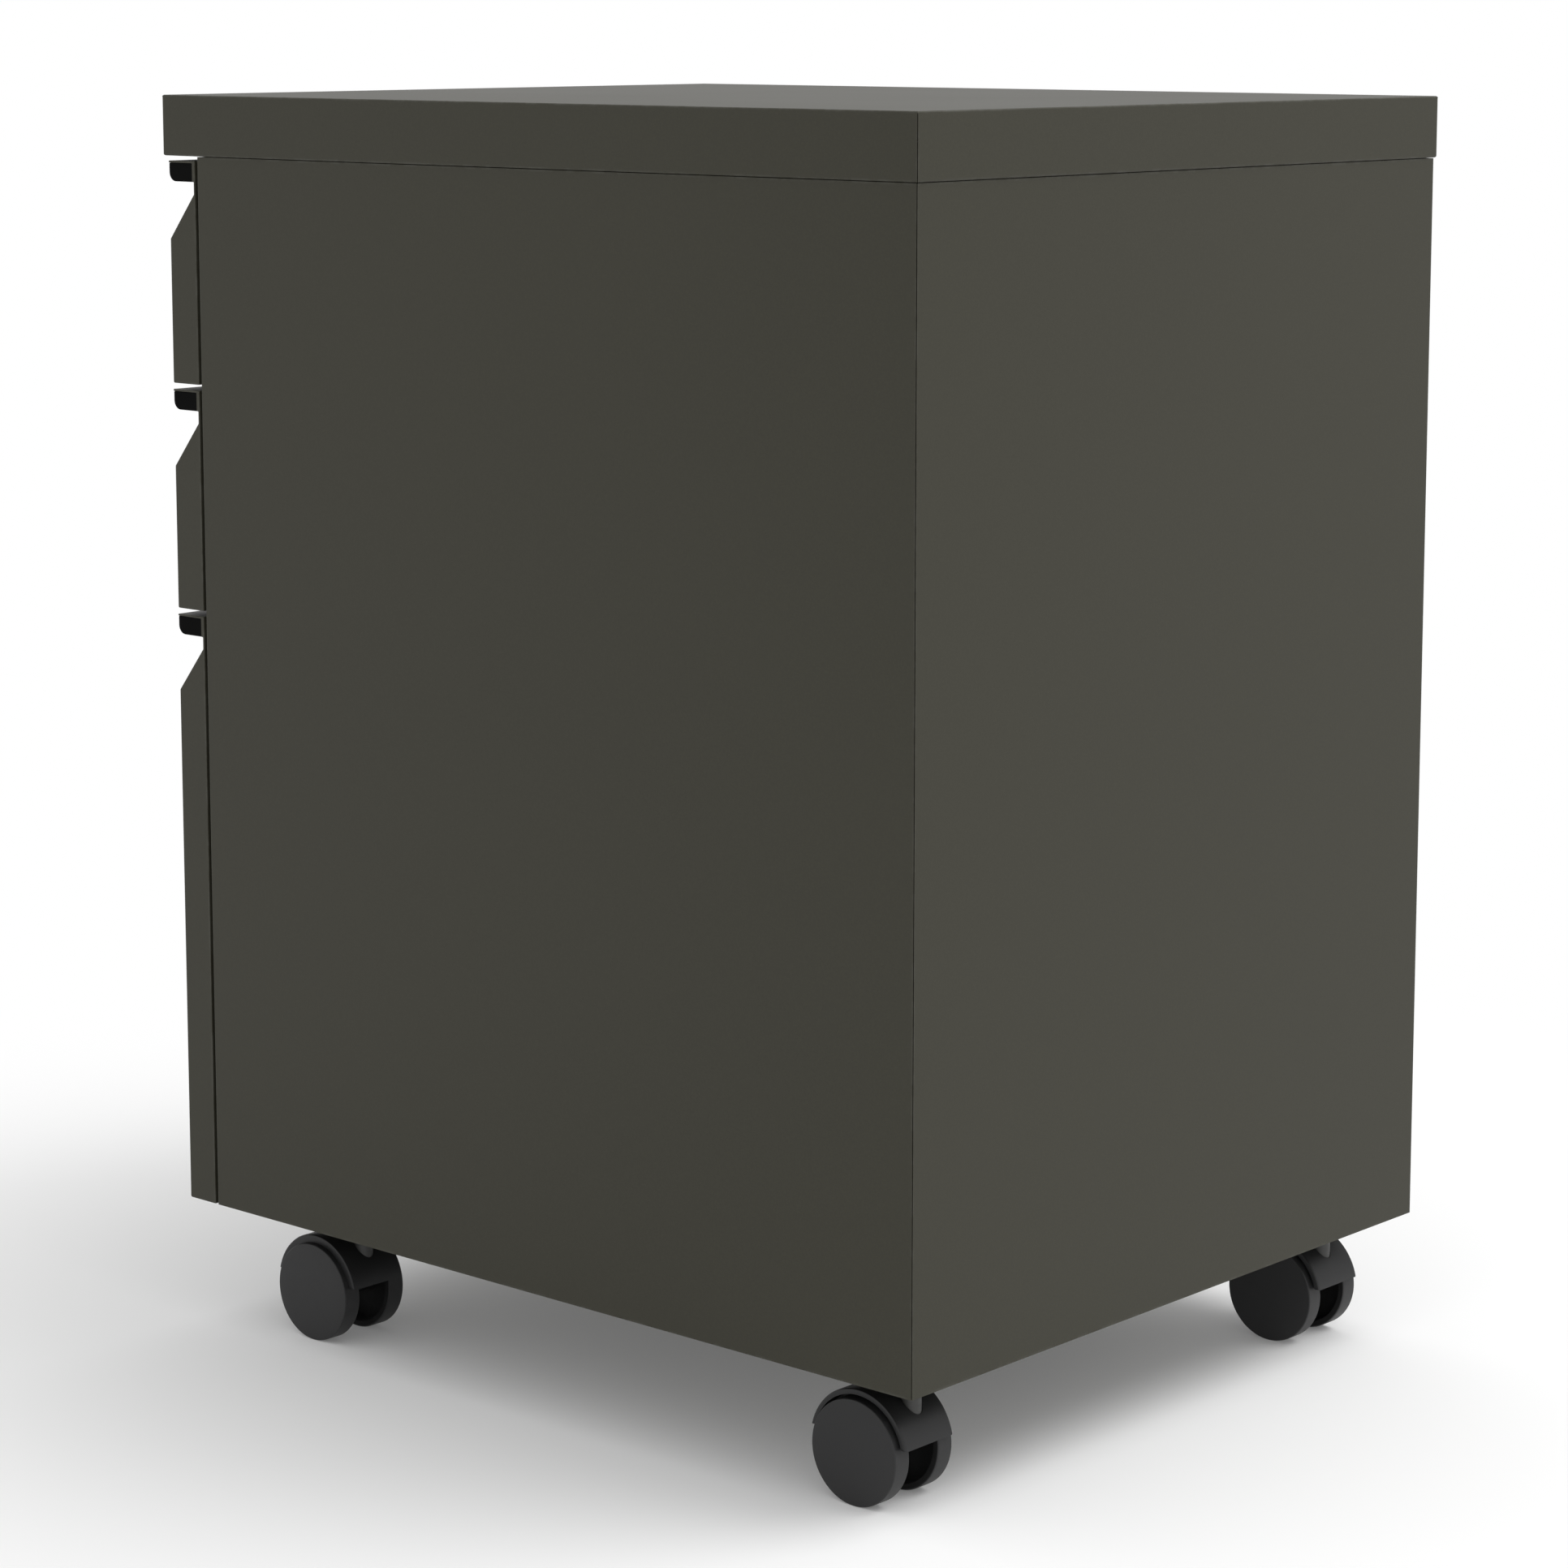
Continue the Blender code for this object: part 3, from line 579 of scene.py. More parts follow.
def drawn_steel(name, base, roughness, streak, metallic):
    """Plated or dull steel with fine drawing lines and a faint cloudy bloom.

    streak scales the lines' pattern along X, Y and Z: it is stretched where that is small.
    """
    line_width, line_depth, bloom_width = 0.0006, 0.000006, 0.018
    material, tree, shader, coordinates = new_finish(name, base, roughness, metallic)
    stretched = vector_node(tree, "MULTIPLY", coordinates, streak).outputs[0]
    lines = noise(tree, stretched, line_width, 3.0, 0.6)
    bloom = noise(tree, coordinates, bloom_width, 3.0, 0.6)
    tone = Vector(base)
    warm = Vector((tone.x, tone.y * 0.995, tone.z * 0.97))
    coloured = mixed(tree, ramp(tree, bloom, 0.35, 0.65), tone * 0.95, warm)
    gloss = math_node(tree, "ADD", ramp(tree, lines, *NOISE_SPAN, -0.05, 0.07),
                      ramp(tree, bloom, *NOISE_SPAN, roughness - 0.03, roughness + 0.04))
    surface(tree, shader, coloured, gloss, lines, line_depth)
    return material


def elastomer(name):
    """Grey rubber of the door pads, with a soft mottle."""
    material, tree, shader, coordinates = new_finish(name, (0.5, 0.5, 0.48), 0.6)
    mottle = noise(tree, coordinates, 0.0012, 3.0, 0.6)
    coloured = mixed(tree, mottle, (0.42, 0.42, 0.40), (0.58, 0.58, 0.56))
    surface(tree, shader, coloured, None, mottle, 0.00003)
    return material


def shared_finish(slot):
    """The finish that the pieces of a slot share, made the first time it is asked for."""
    drawers = settings().drawers
    casters = settings().casters
    name, maker, values = {
        "pull_black": ("pull_plastic", moulded_plastic, (drawers.pull_black, 0.62, 0.04, 0.0007)),
        "hood_black": ("hood_nylon", moulded_plastic, (casters.hood_black, 0.46, 0.4, 0.0006)),
        "zinc": ("zinc_plate", drawn_steel, (drawers.zinc, 0.32, (1, 0.03, 1), 1.0)),
        "stem_steel": ("turned_steel", drawn_steel, (casters.stem_grey, 0.5, (0.1, 0.1, 1), 0.0)),
        "bumper_rubber": ("pad_rubber", elastomer, ()),
    }[slot]
    return bpy.data.materials.get(name) or maker(name, *values)


def place_shared(name, mesh, body, nodes, slot="zinc", smooth=30):
    """Show a piece in the finish that all the pieces of its slot share."""
    place_piece(name, mesh, shared_finish(slot), body, nodes, smooth)


def place_painted(name, mesh, body, node, paint, box=None):
    """Show a sheet-metal piece in paint that is rubbed along the edges of its box."""
    finish = powder_coat(paint, *(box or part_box(node)))
    place_piece(name, mesh, finish, body, [node])


# ------------------------------------------------------- repeated small parts


def new_tree(name, inputs):
    """A geometry tree with named inputs, and its group nodes."""
    tree = bpy.data.node_groups.new(name, "GeometryNodeTree")
    for label, kind, default in inputs:
        socket = tree.interface.new_socket(name=label, in_out="INPUT", socket_type=kind)
        if default is not None:
            socket.default_value = default
    tree.interface.new_socket(name="Geometry", in_out="OUTPUT",
                              socket_type="NodeSocketGeometry")
    return tree, tree.nodes.new("NodeGroupInput").outputs, tree.nodes.new("NodeGroupOutput")


def grid_of_points(tree, given):
    """Points that start at a place and repeat along a step, in rows along a second step."""
    line = add_node(
        tree, "GeometryNodeMeshLine",
        {"Count": given["Count"], "Start Location": given["Start"], "Offset": given["Step"]},
        mode="OFFSET",
    )
    rows = add_node(
        tree, "GeometryNodeMeshLine",
        {"Count": given["Rows"], "Offset": given["Row Step"]}, mode="OFFSET",
    )
    spread = add_node(
        tree, "GeometryNodeInstanceOnPoints",
        {"Points": rows.outputs[0], "Instance": line.outputs[0]},
    )
    return add_node(tree, "GeometryNodeRealizeInstances", {0: spread.outputs[0]}).outputs[0]


POINT_INPUTS = [
    ("Start", "NodeSocketVector", None),
    ("Step", "NodeSocketVector", None),
    ("Count", "NodeSocketInt", 1),
    ("Row Step", "NodeSocketVector", None),
    ("Rows", "NodeSocketInt", 1),
    ("Radius", "NodeSocketFloat", 0.003),
    ("Material", "NodeSocketMaterial", None),
]


def end_tree(tree, given, out, shape, extra):
    """Put the shape on every point, and end with real geometry in the given material."""
    spread = add_node(
        tree, "GeometryNodeInstanceOnPoints",
        {"Points": grid_of_points(tree, given), "Instance": shape.outputs[0], **extra},
    )
    real = add_node(tree, "GeometryNodeRealizeInstances", {0: spread.outputs[0]})
    painted = add_node(
        tree, "GeometryNodeSetMaterial",
        {"Geometry": real.outputs[0], "Material": given["Material"]},
    )
    tree.links.new(painted.outputs[0], out.inputs[0])
    return tree


def raised(tree, shape, height):
    """The shape moved up by a height."""
    up = add_node(tree, "ShaderNodeCombineXYZ", {"Z": height}).outputs[0]
    moved = add_node(tree, "GeometryNodeTransform",
                     {"Geometry": shape.outputs[0], "Translation": up})
    return moved.outputs[0]


def screw_tree():
    """Rows of pan-head screws with a six-sided socket, whose heads stand up along Turn's Z."""
    name = "screw_rows"
    if name in bpy.data.node_groups:
        return bpy.data.node_groups[name]
    extra = [("Height", "NodeSocketFloat", 0.002), ("Turn", "NodeSocketVector", None)]
    tree, given, out = new_tree(name, POINT_INPUTS + extra)
    radius = given["Radius"]
    height = given["Height"]
    head_sides, socket_sides = 28, 6
    crown = add_node(
        tree, "GeometryNodeMeshCone",
        {"Vertices": head_sides, "Radius Top": product(tree, radius, 0.68),
         "Radius Bottom": product(tree, radius, 0.96), "Depth": product(tree, height, 0.5)},
    )
    rim = add_node(
        tree, "GeometryNodeMeshCylinder",
        {"Vertices": head_sides, "Radius": radius, "Depth": product(tree, height, 0.52)},
    )
    socket = add_node(
        tree, "GeometryNodeMeshCylinder",
        {"Vertices": socket_sides, "Radius": product(tree, radius, 0.4), "Depth": height},
    )
    head = add_node(tree, "GeometryNodeMeshBoolean", operation="UNION", solver="EXACT")
    tree.links.new(raised(tree, crown, product(tree, height, 0.5)), head.inputs[1])
    tree.links.new(raised(tree, rim, product(tree, height, 0.26)), head.inputs[1])
    screw = add_node(
        tree, "GeometryNodeMeshBoolean",
        {0: head.outputs[0], 1: raised(tree, socket, height)},
        operation="DIFFERENCE", solver="EXACT",
    )
    turn = add_node(tree, "FunctionNodeEulerToRotation", {0: given["Turn"]})
    return end_tree(tree, given, out, screw, {"Rotation": turn.outputs[0]})


def bead_tree():
    """Rows of round beads, squashed by Scale: the balls of a runner, or spot welds."""
    name = "bead_rows"
    if name in bpy.data.node_groups:
        return bpy.data.node_groups[name]
    extra = [("Scale", "NodeSocketVector", (1, 1, 1))]
    tree, given, out = new_tree(name, POINT_INPUTS + extra)
    bead = add_node(
        tree, "GeometryNodeMeshUVSphere",
        {"Segments": 14, "Rings": 8, "Radius": given["Radius"]},
    )
    return end_tree(tree, given, out, bead, {"Scale": given["Scale"]})


def repeated(tree, values):
    """The plain mesh that a geometry tree makes from these input values."""
    holder = bpy.data.objects.new("holder", bpy.data.meshes.new("holder"))
    bpy.context.scene.collection.objects.link(holder)
    modifier = holder.modifiers.new("rows", "NODES")
    modifier.node_group = tree
    sockets = {
        item.name: item.identifier
        for item in tree.interface.items_tree
        if item.item_type == "SOCKET" and item.in_out == "INPUT"
    }
    for name, value in values.items():
        modifier[sockets[name]] = value
    graph = bpy.context.evaluated_depsgraph_get()
    mesh = bpy.data.meshes.new_from_object(holder.evaluated_get(graph))
    data = holder.data
    bpy.data.objects.remove(holder)
    bpy.data.meshes.remove(data)
    if not mesh.polygons:
        raise RuntimeError(f"{tree.name} made nothing")
    return mesh


# ------------------------------------------------------- places in the frame

CAP_LOW, CAP_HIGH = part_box("top_cap")
PANEL_LOW, PANEL_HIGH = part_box("side_panel_right")
BACK_LOW, BACK_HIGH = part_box("back_panel")
BASE_LOW, BASE_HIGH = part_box("base_pan")
RAIL_LOW, RAIL_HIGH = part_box("front_top_rail")
BODY_HALF = PANEL_HIGH.x
POST_X = PANEL_LOW.x
FRONT_Y = PANEL_LOW.y
BACK_Y = PANEL_HIGH.y
UNDERSIDE = PANEL_LOW.z
PANEL_TOP = PANEL_HIGH.z
INNER_HALF = BACK_HIGH.x
POST_FRONT_Y = BACK_LOW.y
PAN_HALF = RAIL_HIGH.x


def middle(node):
    return sum(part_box(node), Vector()) / 2


def caster_centres():
    """Where each caster's axle crosses its middle, and its stem's y."""
    return {
        word: (middle(f"caster_{word}_axle"), middle(f"caster_{word}_stem").y)
        for word in CASTERS
    }


def mirrored(path, side):
    """A path for the +X side, or its mirror image listed so that left stays left."""
    if side > 0:
        return list(path)
    return [(-x, y) for x, y in reversed(path)]


def corner_slots(half_x, front_y, back_y, low, high, gap):
    """Thin upright plates that cut an open seam at four corners."""
    slots = []
    reach = 0.0024    # a slot's length each way from the corner
    for sign_x in (-1, 1):
        for y, sign_y in ((front_y, -1), (back_y, 1)):
            slot = block((-reach, -gap / 2, low), (reach, gap / 2, high))
            turn = Matrix.Rotation(sign_x * sign_y * pi / 4, 4, "Z")
            slot.transform(Matrix.Translation((sign_x * half_x, y, 0)) @ turn)
            slots.append(slot)
    return slots


def stem_holes(low, high):
    """Rods as wide as the stems' shanks, to cut with."""
    return [
        rod(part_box(f"caster_{word}_stem")[1].x - centre.x, low, high, "Z",
            (centre.x, stem_y), 32)
        for word, (centre, stem_y) in caster_centres().items()
    ]


# -------------------------------------------------------------------- pieces


def make_cap():
    """The folded top: bent edges, open corner seams and a flange turned in underneath."""
    steel = settings().steel
    blank = block(CAP_LOW, CAP_HIGH, steel.bend, "Z", 4)
    sheet = Vector((steel.sheet, steel.sheet, steel.sheet))
    turned_in = Vector((steel.cap_return, steel.cap_return, 0))
    cavity = block(CAP_LOW + sheet, CAP_HIGH - sheet)
    mouth_low = CAP_LOW + turned_in - Vector((0, 0, steel.sheet))
    mouth_high = Vector((*(CAP_HIGH - turned_in).xy, CAP_LOW.z + 2 * steel.sheet))
    slots = corner_slots(CAP_HIGH.x, CAP_LOW.y, CAP_HIGH.y, CAP_LOW.z - steel.sheet,
                         CAP_HIGH.z - 1.2 * steel.bend, steel.corner_gap)
    mesh = carved(blank, [cavity, block(mouth_low, mouth_high), *slots])
    place_painted("cap", mesh, "cabinet", "top_cap", "cap_paint")


def make_side_panels():
    """Flat skins, folded at the front and mitred at the rear corner."""
    steel = settings().steel
    sheet = steel.sheet
    gap = steel.panel_gap
    fold = [
        (POST_X, FRONT_Y + steel.front_lip),
        (POST_X, FRONT_Y),
        (BODY_HALF, FRONT_Y),
        (BODY_HALF, BACK_Y - gap),
    ]
    inside = offset_path(fold, sheet)
    inside[-1] = (BODY_HALF - sheet, BACK_Y - sheet - gap)
    outline = rounded(fold, [0, steel.bend, steel.bend, 0], False)
    outline += rounded(inside, [0, INNER_FOLD, INNER_FOLD, 0], False)[::-1]
    for word, side in SIDES.items():
        section = [(side * x, y) for x, y in outline]
        mesh = prism(section, "Z", UNDERSIDE, PANEL_TOP)
        place_painted("side_skin_" + word, mesh, "cabinet", "side_panel_" + word,
                      "side_paint_" + word)


def make_back_panel():
    """The back, with a folded post at each end, mitred into the side panels."""
    steel = settings().steel
    sheet = steel.sheet
    gap = steel.panel_gap
    outer = [
        (POST_X, POST_FRONT_Y + steel.rear_lip),
        (POST_X, POST_FRONT_Y),
        (INNER_HALF, POST_FRONT_Y),
        (INNER_HALF, BACK_Y - sheet),
        (BODY_HALF - sheet - gap, BACK_Y - sheet),
        (BODY_HALF - gap, BACK_Y),
    ]
    inner = [
        (POST_X + sheet, POST_FRONT_Y + steel.rear_lip),
        (POST_X + sheet, POST_FRONT_Y + sheet),
        (INNER_HALF - sheet, POST_FRONT_Y + sheet),
        (INNER_HALF - sheet, BACK_Y - sheet),
    ]
    outer = rounded(outer, [0, steel.bend, steel.bend, 0, 0, 0], False)
    inner = rounded(inner, [0, INNER_FOLD, INNER_FOLD, 0], False)
    outline = outer + mirrored(outer, -1)
    outline += (inner + mirrored(inner, -1))[::-1]
    mesh = prism(outline, "Z", UNDERSIDE, PANEL_TOP)
    box = ((-BODY_HALF, BACK_LOW.y, BACK_LOW.z), (BODY_HALF, BACK_HIGH.y, BACK_HIGH.z))
    place_painted("back_skin", mesh, "cabinet", "back_panel", "back_paint", box)


def make_base():
    """The floor between the posts, with a rim and two side tongues."""
    steel = settings().steel
    sheet = steel.sheet
    low = Vector((-PAN_HALF, BASE_LOW.y, BASE_LOW.z))
    high = Vector((PAN_HALF, BASE_HIGH.y, BASE_HIGH.z))
    edge = Vector((sheet, sheet, 0))
    blank = block(low, high, steel.bend, "Z")
    hollow = block(low + edge + Vector((0, 0, sheet)), high - edge + Vector((0, 0, sheet)))
    tongues = []
    for side in SIDES.values():
        ends = sorted((side * (PAN_HALF - 2 * sheet), side * BASE_HIGH.x))
        tongues.append(block(
            (ends[0], FRONT_Y + steel.front_lip + FIT, BASE_LOW.z),
            (ends[1], POST_FRONT_Y - FIT, BASE_LOW.z + sheet),
        ))
    tray = carved(blank, [hollow])
    mesh = carved(tray, stem_holes(BASE_LOW.z - sheet, BASE_LOW.z + 2 * sheet), tongues)
    place_painted("floor_pan", mesh, "cabinet", "base_pan", "floor_paint", (low, high))


def make_cross_members():
    """The rail over the top drawer and the two channels that hold the caster stems."""
    steel = settings().steel
    rail = [(RAIL_HIGH.y, RAIL_HIGH.z), (RAIL_LOW.y, RAIL_HIGH.z), (RAIL_LOW.y, RAIL_LOW.z)]
    outline = sheet_outline(rail, steel.sheet, steel.bend)
    mesh = prism(outline, "X", RAIL_LOW.x, RAIL_HIGH.x, CUT_EDGE)
    place_painted("top_rail", mesh, "cabinet", "front_top_rail", "rail_paint")
    sheet = steel.channel_sheet
    for word in ("front", "rear"):
        low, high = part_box("caster_channel_" + word)
        web_low, web_high = low.y + steel.channel_foot, high.y - steel.channel_foot
        hat = [
            (low.y, low.z + sheet), (web_low, low.z + sheet), (web_low, high.z),
            (web_high, high.z), (web_high, low.z + sheet), (high.y, low.z + sheet),
        ]
        outline = sheet_outline(hat[::-1], sheet, steel.channel_bend)
        mesh = prism(outline, "X", low.x, high.x)
        mesh = carved(mesh, stem_holes(low.z - sheet, high.z + sheet))
        place_shared("channel_" + word, mesh, "cabinet", ["caster_channel_" + word])


def cornered(corners, steps):
    """An outline from corners given as (x, y, radius)."""
    return rounded([corner[:2] for corner in corners], [corner[2] for corner in corners],
                   steps=steps)


def front_outline(low, high):
    """A drawer front in section, as (y, z)."""
    steel = settings().steel
    drawers = settings().drawers
    back = high.y
    face = back - drawers.front_depth
    recess = back - steel.sheet
    heel = recess - drawers.hem
    under_top = high.z - steel.sheet
    strip_end = high.z - drawers.strip_drop
    crease, top_edge = 0.0003, 0.0004
    foot_fold, slope_fold, recess_fold = 0.0009, 0.0014, 0.0006
    return cornered([
        (back, low.z, crease),
        (face, low.z, foot_fold),
        (face, high.z - drawers.face_drop, slope_fold),
        (recess, high.z - drawers.slope_drop, recess_fold),
        (recess, strip_end, crease),
        (heel, strip_end, crease),
        (heel, under_top, crease),
        (low.y, under_top, crease),
        (low.y, high.z, top_edge),
        (back, high.z, top_edge),
    ], 5)


def make_front(word):
    """A folded front with a slope up to its finger recess and a strip behind its pull."""
    sheet = settings().steel.sheet
    drawers = settings().drawers
    low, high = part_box(word + "_front")
    end_edge, opening_radius = 0.0002, 0.006
    blank = prism(front_outline(low, high), "X", low.x, high.x, end_edge)
    back = high.y
    face = back - drawers.front_depth
    recess = back - sheet
    run = recess - face
    rise = drawers.face_drop - drawers.slope_drop
    under_slope = sheet * hypot(run, rise) / run
    inner = face + sheet
    hollow = [
        (recess, low.z + sheet),
        (inner, low.z + sheet),
        (inner, high.z - drawers.face_drop + rise * sheet / run - under_slope),
        (recess, high.z - drawers.slope_drop - under_slope),
    ]
    inside = high.x - sheet
    side_return = drawers.back_return
    end_return = side_return / 2
    opening = block(
        (-high.x + side_return, recess - sheet, low.z + end_return),
        (high.x - side_return, back + sheet, high.z - drawers.slope_drop - end_return),
        opening_radius, "XZ",
    )
    mesh = carved(blank, [prism(hollow, "X", -inside, inside), opening])
    place_painted(word + "_drawer_front", mesh, "drawer_" + word, word + "_front",
                  "front_paint_" + word)


def make_pull(word):
    """A grip with a rounded lip, closed at its ends and grooved for the fingers underneath."""
    drawers = settings().drawers
    low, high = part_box(word + "_pull")
    clear, end_edge, groove_radius = 0.00005, 0.00025, 0.0011
    back_radius, lip_radius, heel_radius = 0.0003, 0.0006, 0.0005
    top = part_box(word + "_front")[1].z - settings().steel.sheet - clear
    outline = cornered([
        (high.y, top, back_radius),
        (low.y, top, lip_radius),
        (low.y, low.z, drawers.pull_radius),
        (high.y, low.z, heel_radius),
    ], 8)
    groove = block(
        (low.x + drawers.pull_end, low.y + drawers.pull_lip, low.z - drawers.groove),
        (high.x - drawers.pull_end, high.y - drawers.pull_heel, low.z + drawers.groove),
        groove_radius, "", 4,
    )
    mesh = carved(prism(outline, "X", low.x, high.x, end_edge), [groove])
    place_shared(word + "_grip", mesh, "drawer_" + word, [word + "_pull"], "pull_black")


def make_box(word):
    """A folded drawer box with hemmed rims; a file drawer's side rims carry the hanger rails."""
    steel = settings().steel
    sheet = steel.sheet
    low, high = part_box(word + "_box")
    rounding, beyond = 0.002, 1    # the rounded top is cut off flat, this far down
    inner_bend, above_floor = 0.0008, 0.002
    cut_off = block((low.x - beyond, low.y - beyond, high.z - rounding),
                    (high.x + beyond, high.y + beyond, high.z + beyond))
    blank = carved(block(low, high, steel.box_bend, "", 4), [cut_off])
    hem_x = sheet if word == "file" else 2 * sheet
    wide_low = low + Vector((sheet, sheet, sheet))
    wide_high = Vector((high.x - sheet, high.y - sheet, high.z - steel.hem))
    mouth_low = low + Vector((hem_x, 2 * sheet, sheet + above_floor))
    mouth_high = high + Vector((-hem_x, -2 * sheet, sheet))
    cuts = [block(wide_low, wide_high, inner_bend), block(mouth_low, mouth_high, inner_bend, "XY")]
    place_painted(word + "_drawer_box", carved(blank, cuts), "drawer_" + word, word + "_box",
                  "box_paint_" + word)


def make_hangers():
    """Rails clipped over the file drawer's side walls."""
    sheet = settings().steel.sheet
    bend = 0.0014
    for word in SIDES:
        low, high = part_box("file_hanger_rail_" + word)
        clip = [(low.x, low.z), (low.x, high.z), (high.x, high.z), (high.x, low.z)]
        mesh = prism(sheet_outline(clip[::-1], sheet, bend), "Y", -high.y, -low.y, CUT_EDGE)
        place_shared("hanger_rail_" + word, mesh, "drawer_file", ["file_hanger_rail_" + word])


def runner_section(web_x, reach_x, half, z, sheet, faces_out, lip):
    """A C section for the +X side, as (x, z), with its flanges' edges curled in by a lip."""
    path = [
        (reach_x, z - half + lip), (reach_x, z - half), (web_x, z - half),
        (web_x, z + half), (reach_x, z + half), (reach_x, z + half - lip),
    ]
    if not lip:
        path = path[1:-1]
    if faces_out:
        path.reverse()
    return sheet_outline(path, sheet, sheet * 1.5)


def make_runner(name, node, body, side, section):
    low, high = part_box(node)
    outline = [(side * x, z) for x, z in section]
    place_shared(name, prism(outline, "Y", -high.y, -low.y), body, [node])


def make_runners():
    """Telescopic runners: curled outer members, narrower ones inside them, and ball cages."""
    drawers = settings().drawers
    sheet, ball, pitch = drawers.runner_sheet, drawers.ball, drawers.ball_pitch
    nest = sheet + 2 * ball                   # from a member's flange to the next one's
    outer_lip, middle_lip = 0.0026, 0.0022    # how far the flanges' edges curl in
    outer_short, middle_short = 0.0006, 0.0010    # how far short of the inner web they end
    web_gap, flange_gap = 0.0011, 0.0016
    cage_sheet, cage_bend, cage_gap, cage_short = 0.0005, 0.0008, 0.0003, 0.0026
    first_cage, ball_reach, ball_clear = 0.006, 0.0054, 0.00005
    balls = {"cabinet": [], "file_runner_middles": []}
    cages = {"cabinet": [], "file_runner_middles": []}
    count = int(drawers.cage / pitch)
    for word in DRAWERS:
        for side_word, side in SIDES.items():
            low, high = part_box(f"{word}_runner_outer_{side_word}")
            z = (low.z + high.z) / 2
            web_x = max(abs(low.x), abs(high.x))
            reach_x = min(abs(low.x), abs(high.x))
            half = (high.z - low.z) / 2
            section = runner_section(web_x, reach_x + outer_short, half, z, sheet, False,
                                     outer_lip)
            make_runner(f"{word}_outer_member_{side_word}", f"{word}_runner_outer_{side_word}",
                        "cabinet", side, section)
            nests = [("cabinet", web_x - sheet)]
            inner_half = half - nest
            if word == "file":
                middle_web = web_x - sheet - web_gap
                section = runner_section(middle_web, reach_x + middle_short, inner_half, z,
                                         sheet, False, middle_lip)
                make_runner(f"file_middle_member_{side_word}", f"file_runner_middle_{side_word}",
                            "file_runner_middles", side, section)
                nests.append(("file_runner_middles", middle_web - sheet))
                inner_half -= nest
            section = runner_section(reach_x, nests[-1][1] - flange_gap, inner_half, z, sheet,
                                     True, 0)
            make_runner(f"{word}_inner_member_{side_word}", f"{word}_runner_inner_{side_word}",
                        "drawer_" + word, side, section)
            start = low.y + first_cage
            for step, (body, wall_x) in enumerate(nests):
                race = half - sheet - ball - step * nest
                bottom, top = z - race - cage_sheet / 2, z + race + cage_sheet / 2
                web, reach = wall_x - cage_gap, reach_x + cage_short
                cage = sheet_outline([(reach, bottom), (web, bottom), (web, top), (reach, top)],
                                     cage_sheet, cage_bend)
                cages[body].append(prism([(side * x, y) for x, y in cage], "Y",
                                         -start - count * pitch, -start))
                balls[body].append(repeated(bead_tree(), {
                    "Start": (side * (reach_x + ball_reach), start + pitch / 2, z - race),
                    "Step": (0, pitch, 0), "Count": count,
                    "Row Step": (0, 0, 2 * race), "Rows": 2, "Radius": ball - ball_clear,
                    "Material": shared_finish("zinc"), "Scale": (1, 1, 1),
                }))
    for body in balls:
        place_shared("balls_" + body, joined(balls[body]), body, [], smooth=60)
        place_shared("ball_cages_" + body, joined(cages[body]), body, [])


def make_bumpers(word):
    """Soft pads that meet the side panels' front edges."""
    for side in SIDES:
        node = f"{word}_bumper_{side}"
        low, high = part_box(node)
        centre = middle(node)
        radius = (high.z - low.z) / 2
        thickness = high.y - low.y
        # a pad's section, as shares of its radius and of its thickness
        curve = [(0.0, 1.0), (0.55, 0.99), (0.78, 0.92), (0.92, 0.7), (0.99, 0.35), (1.0, 0.0)]
        profile = [(radius * r, -low.y - thickness * h) for r, h in curve] + [(0, -low.y)]
        mesh = spun(profile, "Y", (centre.x, centre.z), 32)
        place_shared(f"{word}_pad_{side}", mesh, "drawer_" + word, [node], "bumper_rubber")


def make_hood(word, centre, stem_y):
    """A curved guard over both wheels, with a core that holds the axle and the stem."""
    casters = settings().casters
    node = f"caster_{word}_hood"
    low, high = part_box(node)
    radius = high.z - centre.z
    axle = (centre.y, centre.z)
    boss_radius = centre.z - low.z
    rear = radians(casters.guard_rear)
    front = radians(casters.guard_front)

    def outline(inner):
        """The hood's section, moved inwards all round."""
        turn = inner / radius * 180 / pi
        guard = arc(radius - inner, casters.guard_rear + turn, casters.guard_front - turn, 72,
                    axle)
        boss = arc(boss_radius - inner, 180, 360, 24, axle)
        front_z = centre.z + radius * sin(front) + inner
        rear_z = centre.z + radius * sin(rear) + inner
        return guard + [(boss[0][0], front_z)] + boss + [(boss[-1][0], rear_z)]

    blank = extruded(outline, "X", low.x, high.x, casters.hood_edge)
    well = radius - casters.hood_wall
    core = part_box(f"caster_{word}_wheel_right")[0].x - centre.x - FIT
    past = high.x - centre.x + FIT
    stem_low, stem_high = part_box(f"caster_{word}_stem")
    stem_radius = (stem_high.x - stem_low.x) / 2 + FIT
    cuts = [
        rod(well, centre.x + core, centre.x + past, "X", axle, 128),
        rod(well, centre.x - past, centre.x - core, "X", axle, 128),
        rod(casters.axle_bore, centre.x - past, centre.x + past, "X", axle, 32),
        rod(stem_radius, stem_low.z - FIT, UNDERSIDE, "Z", (centre.x, stem_y), 48),
    ]
    place_shared(f"hood_{word}", carved(blank, cuts), "caster_" + word, [node], "hood_black", 25)


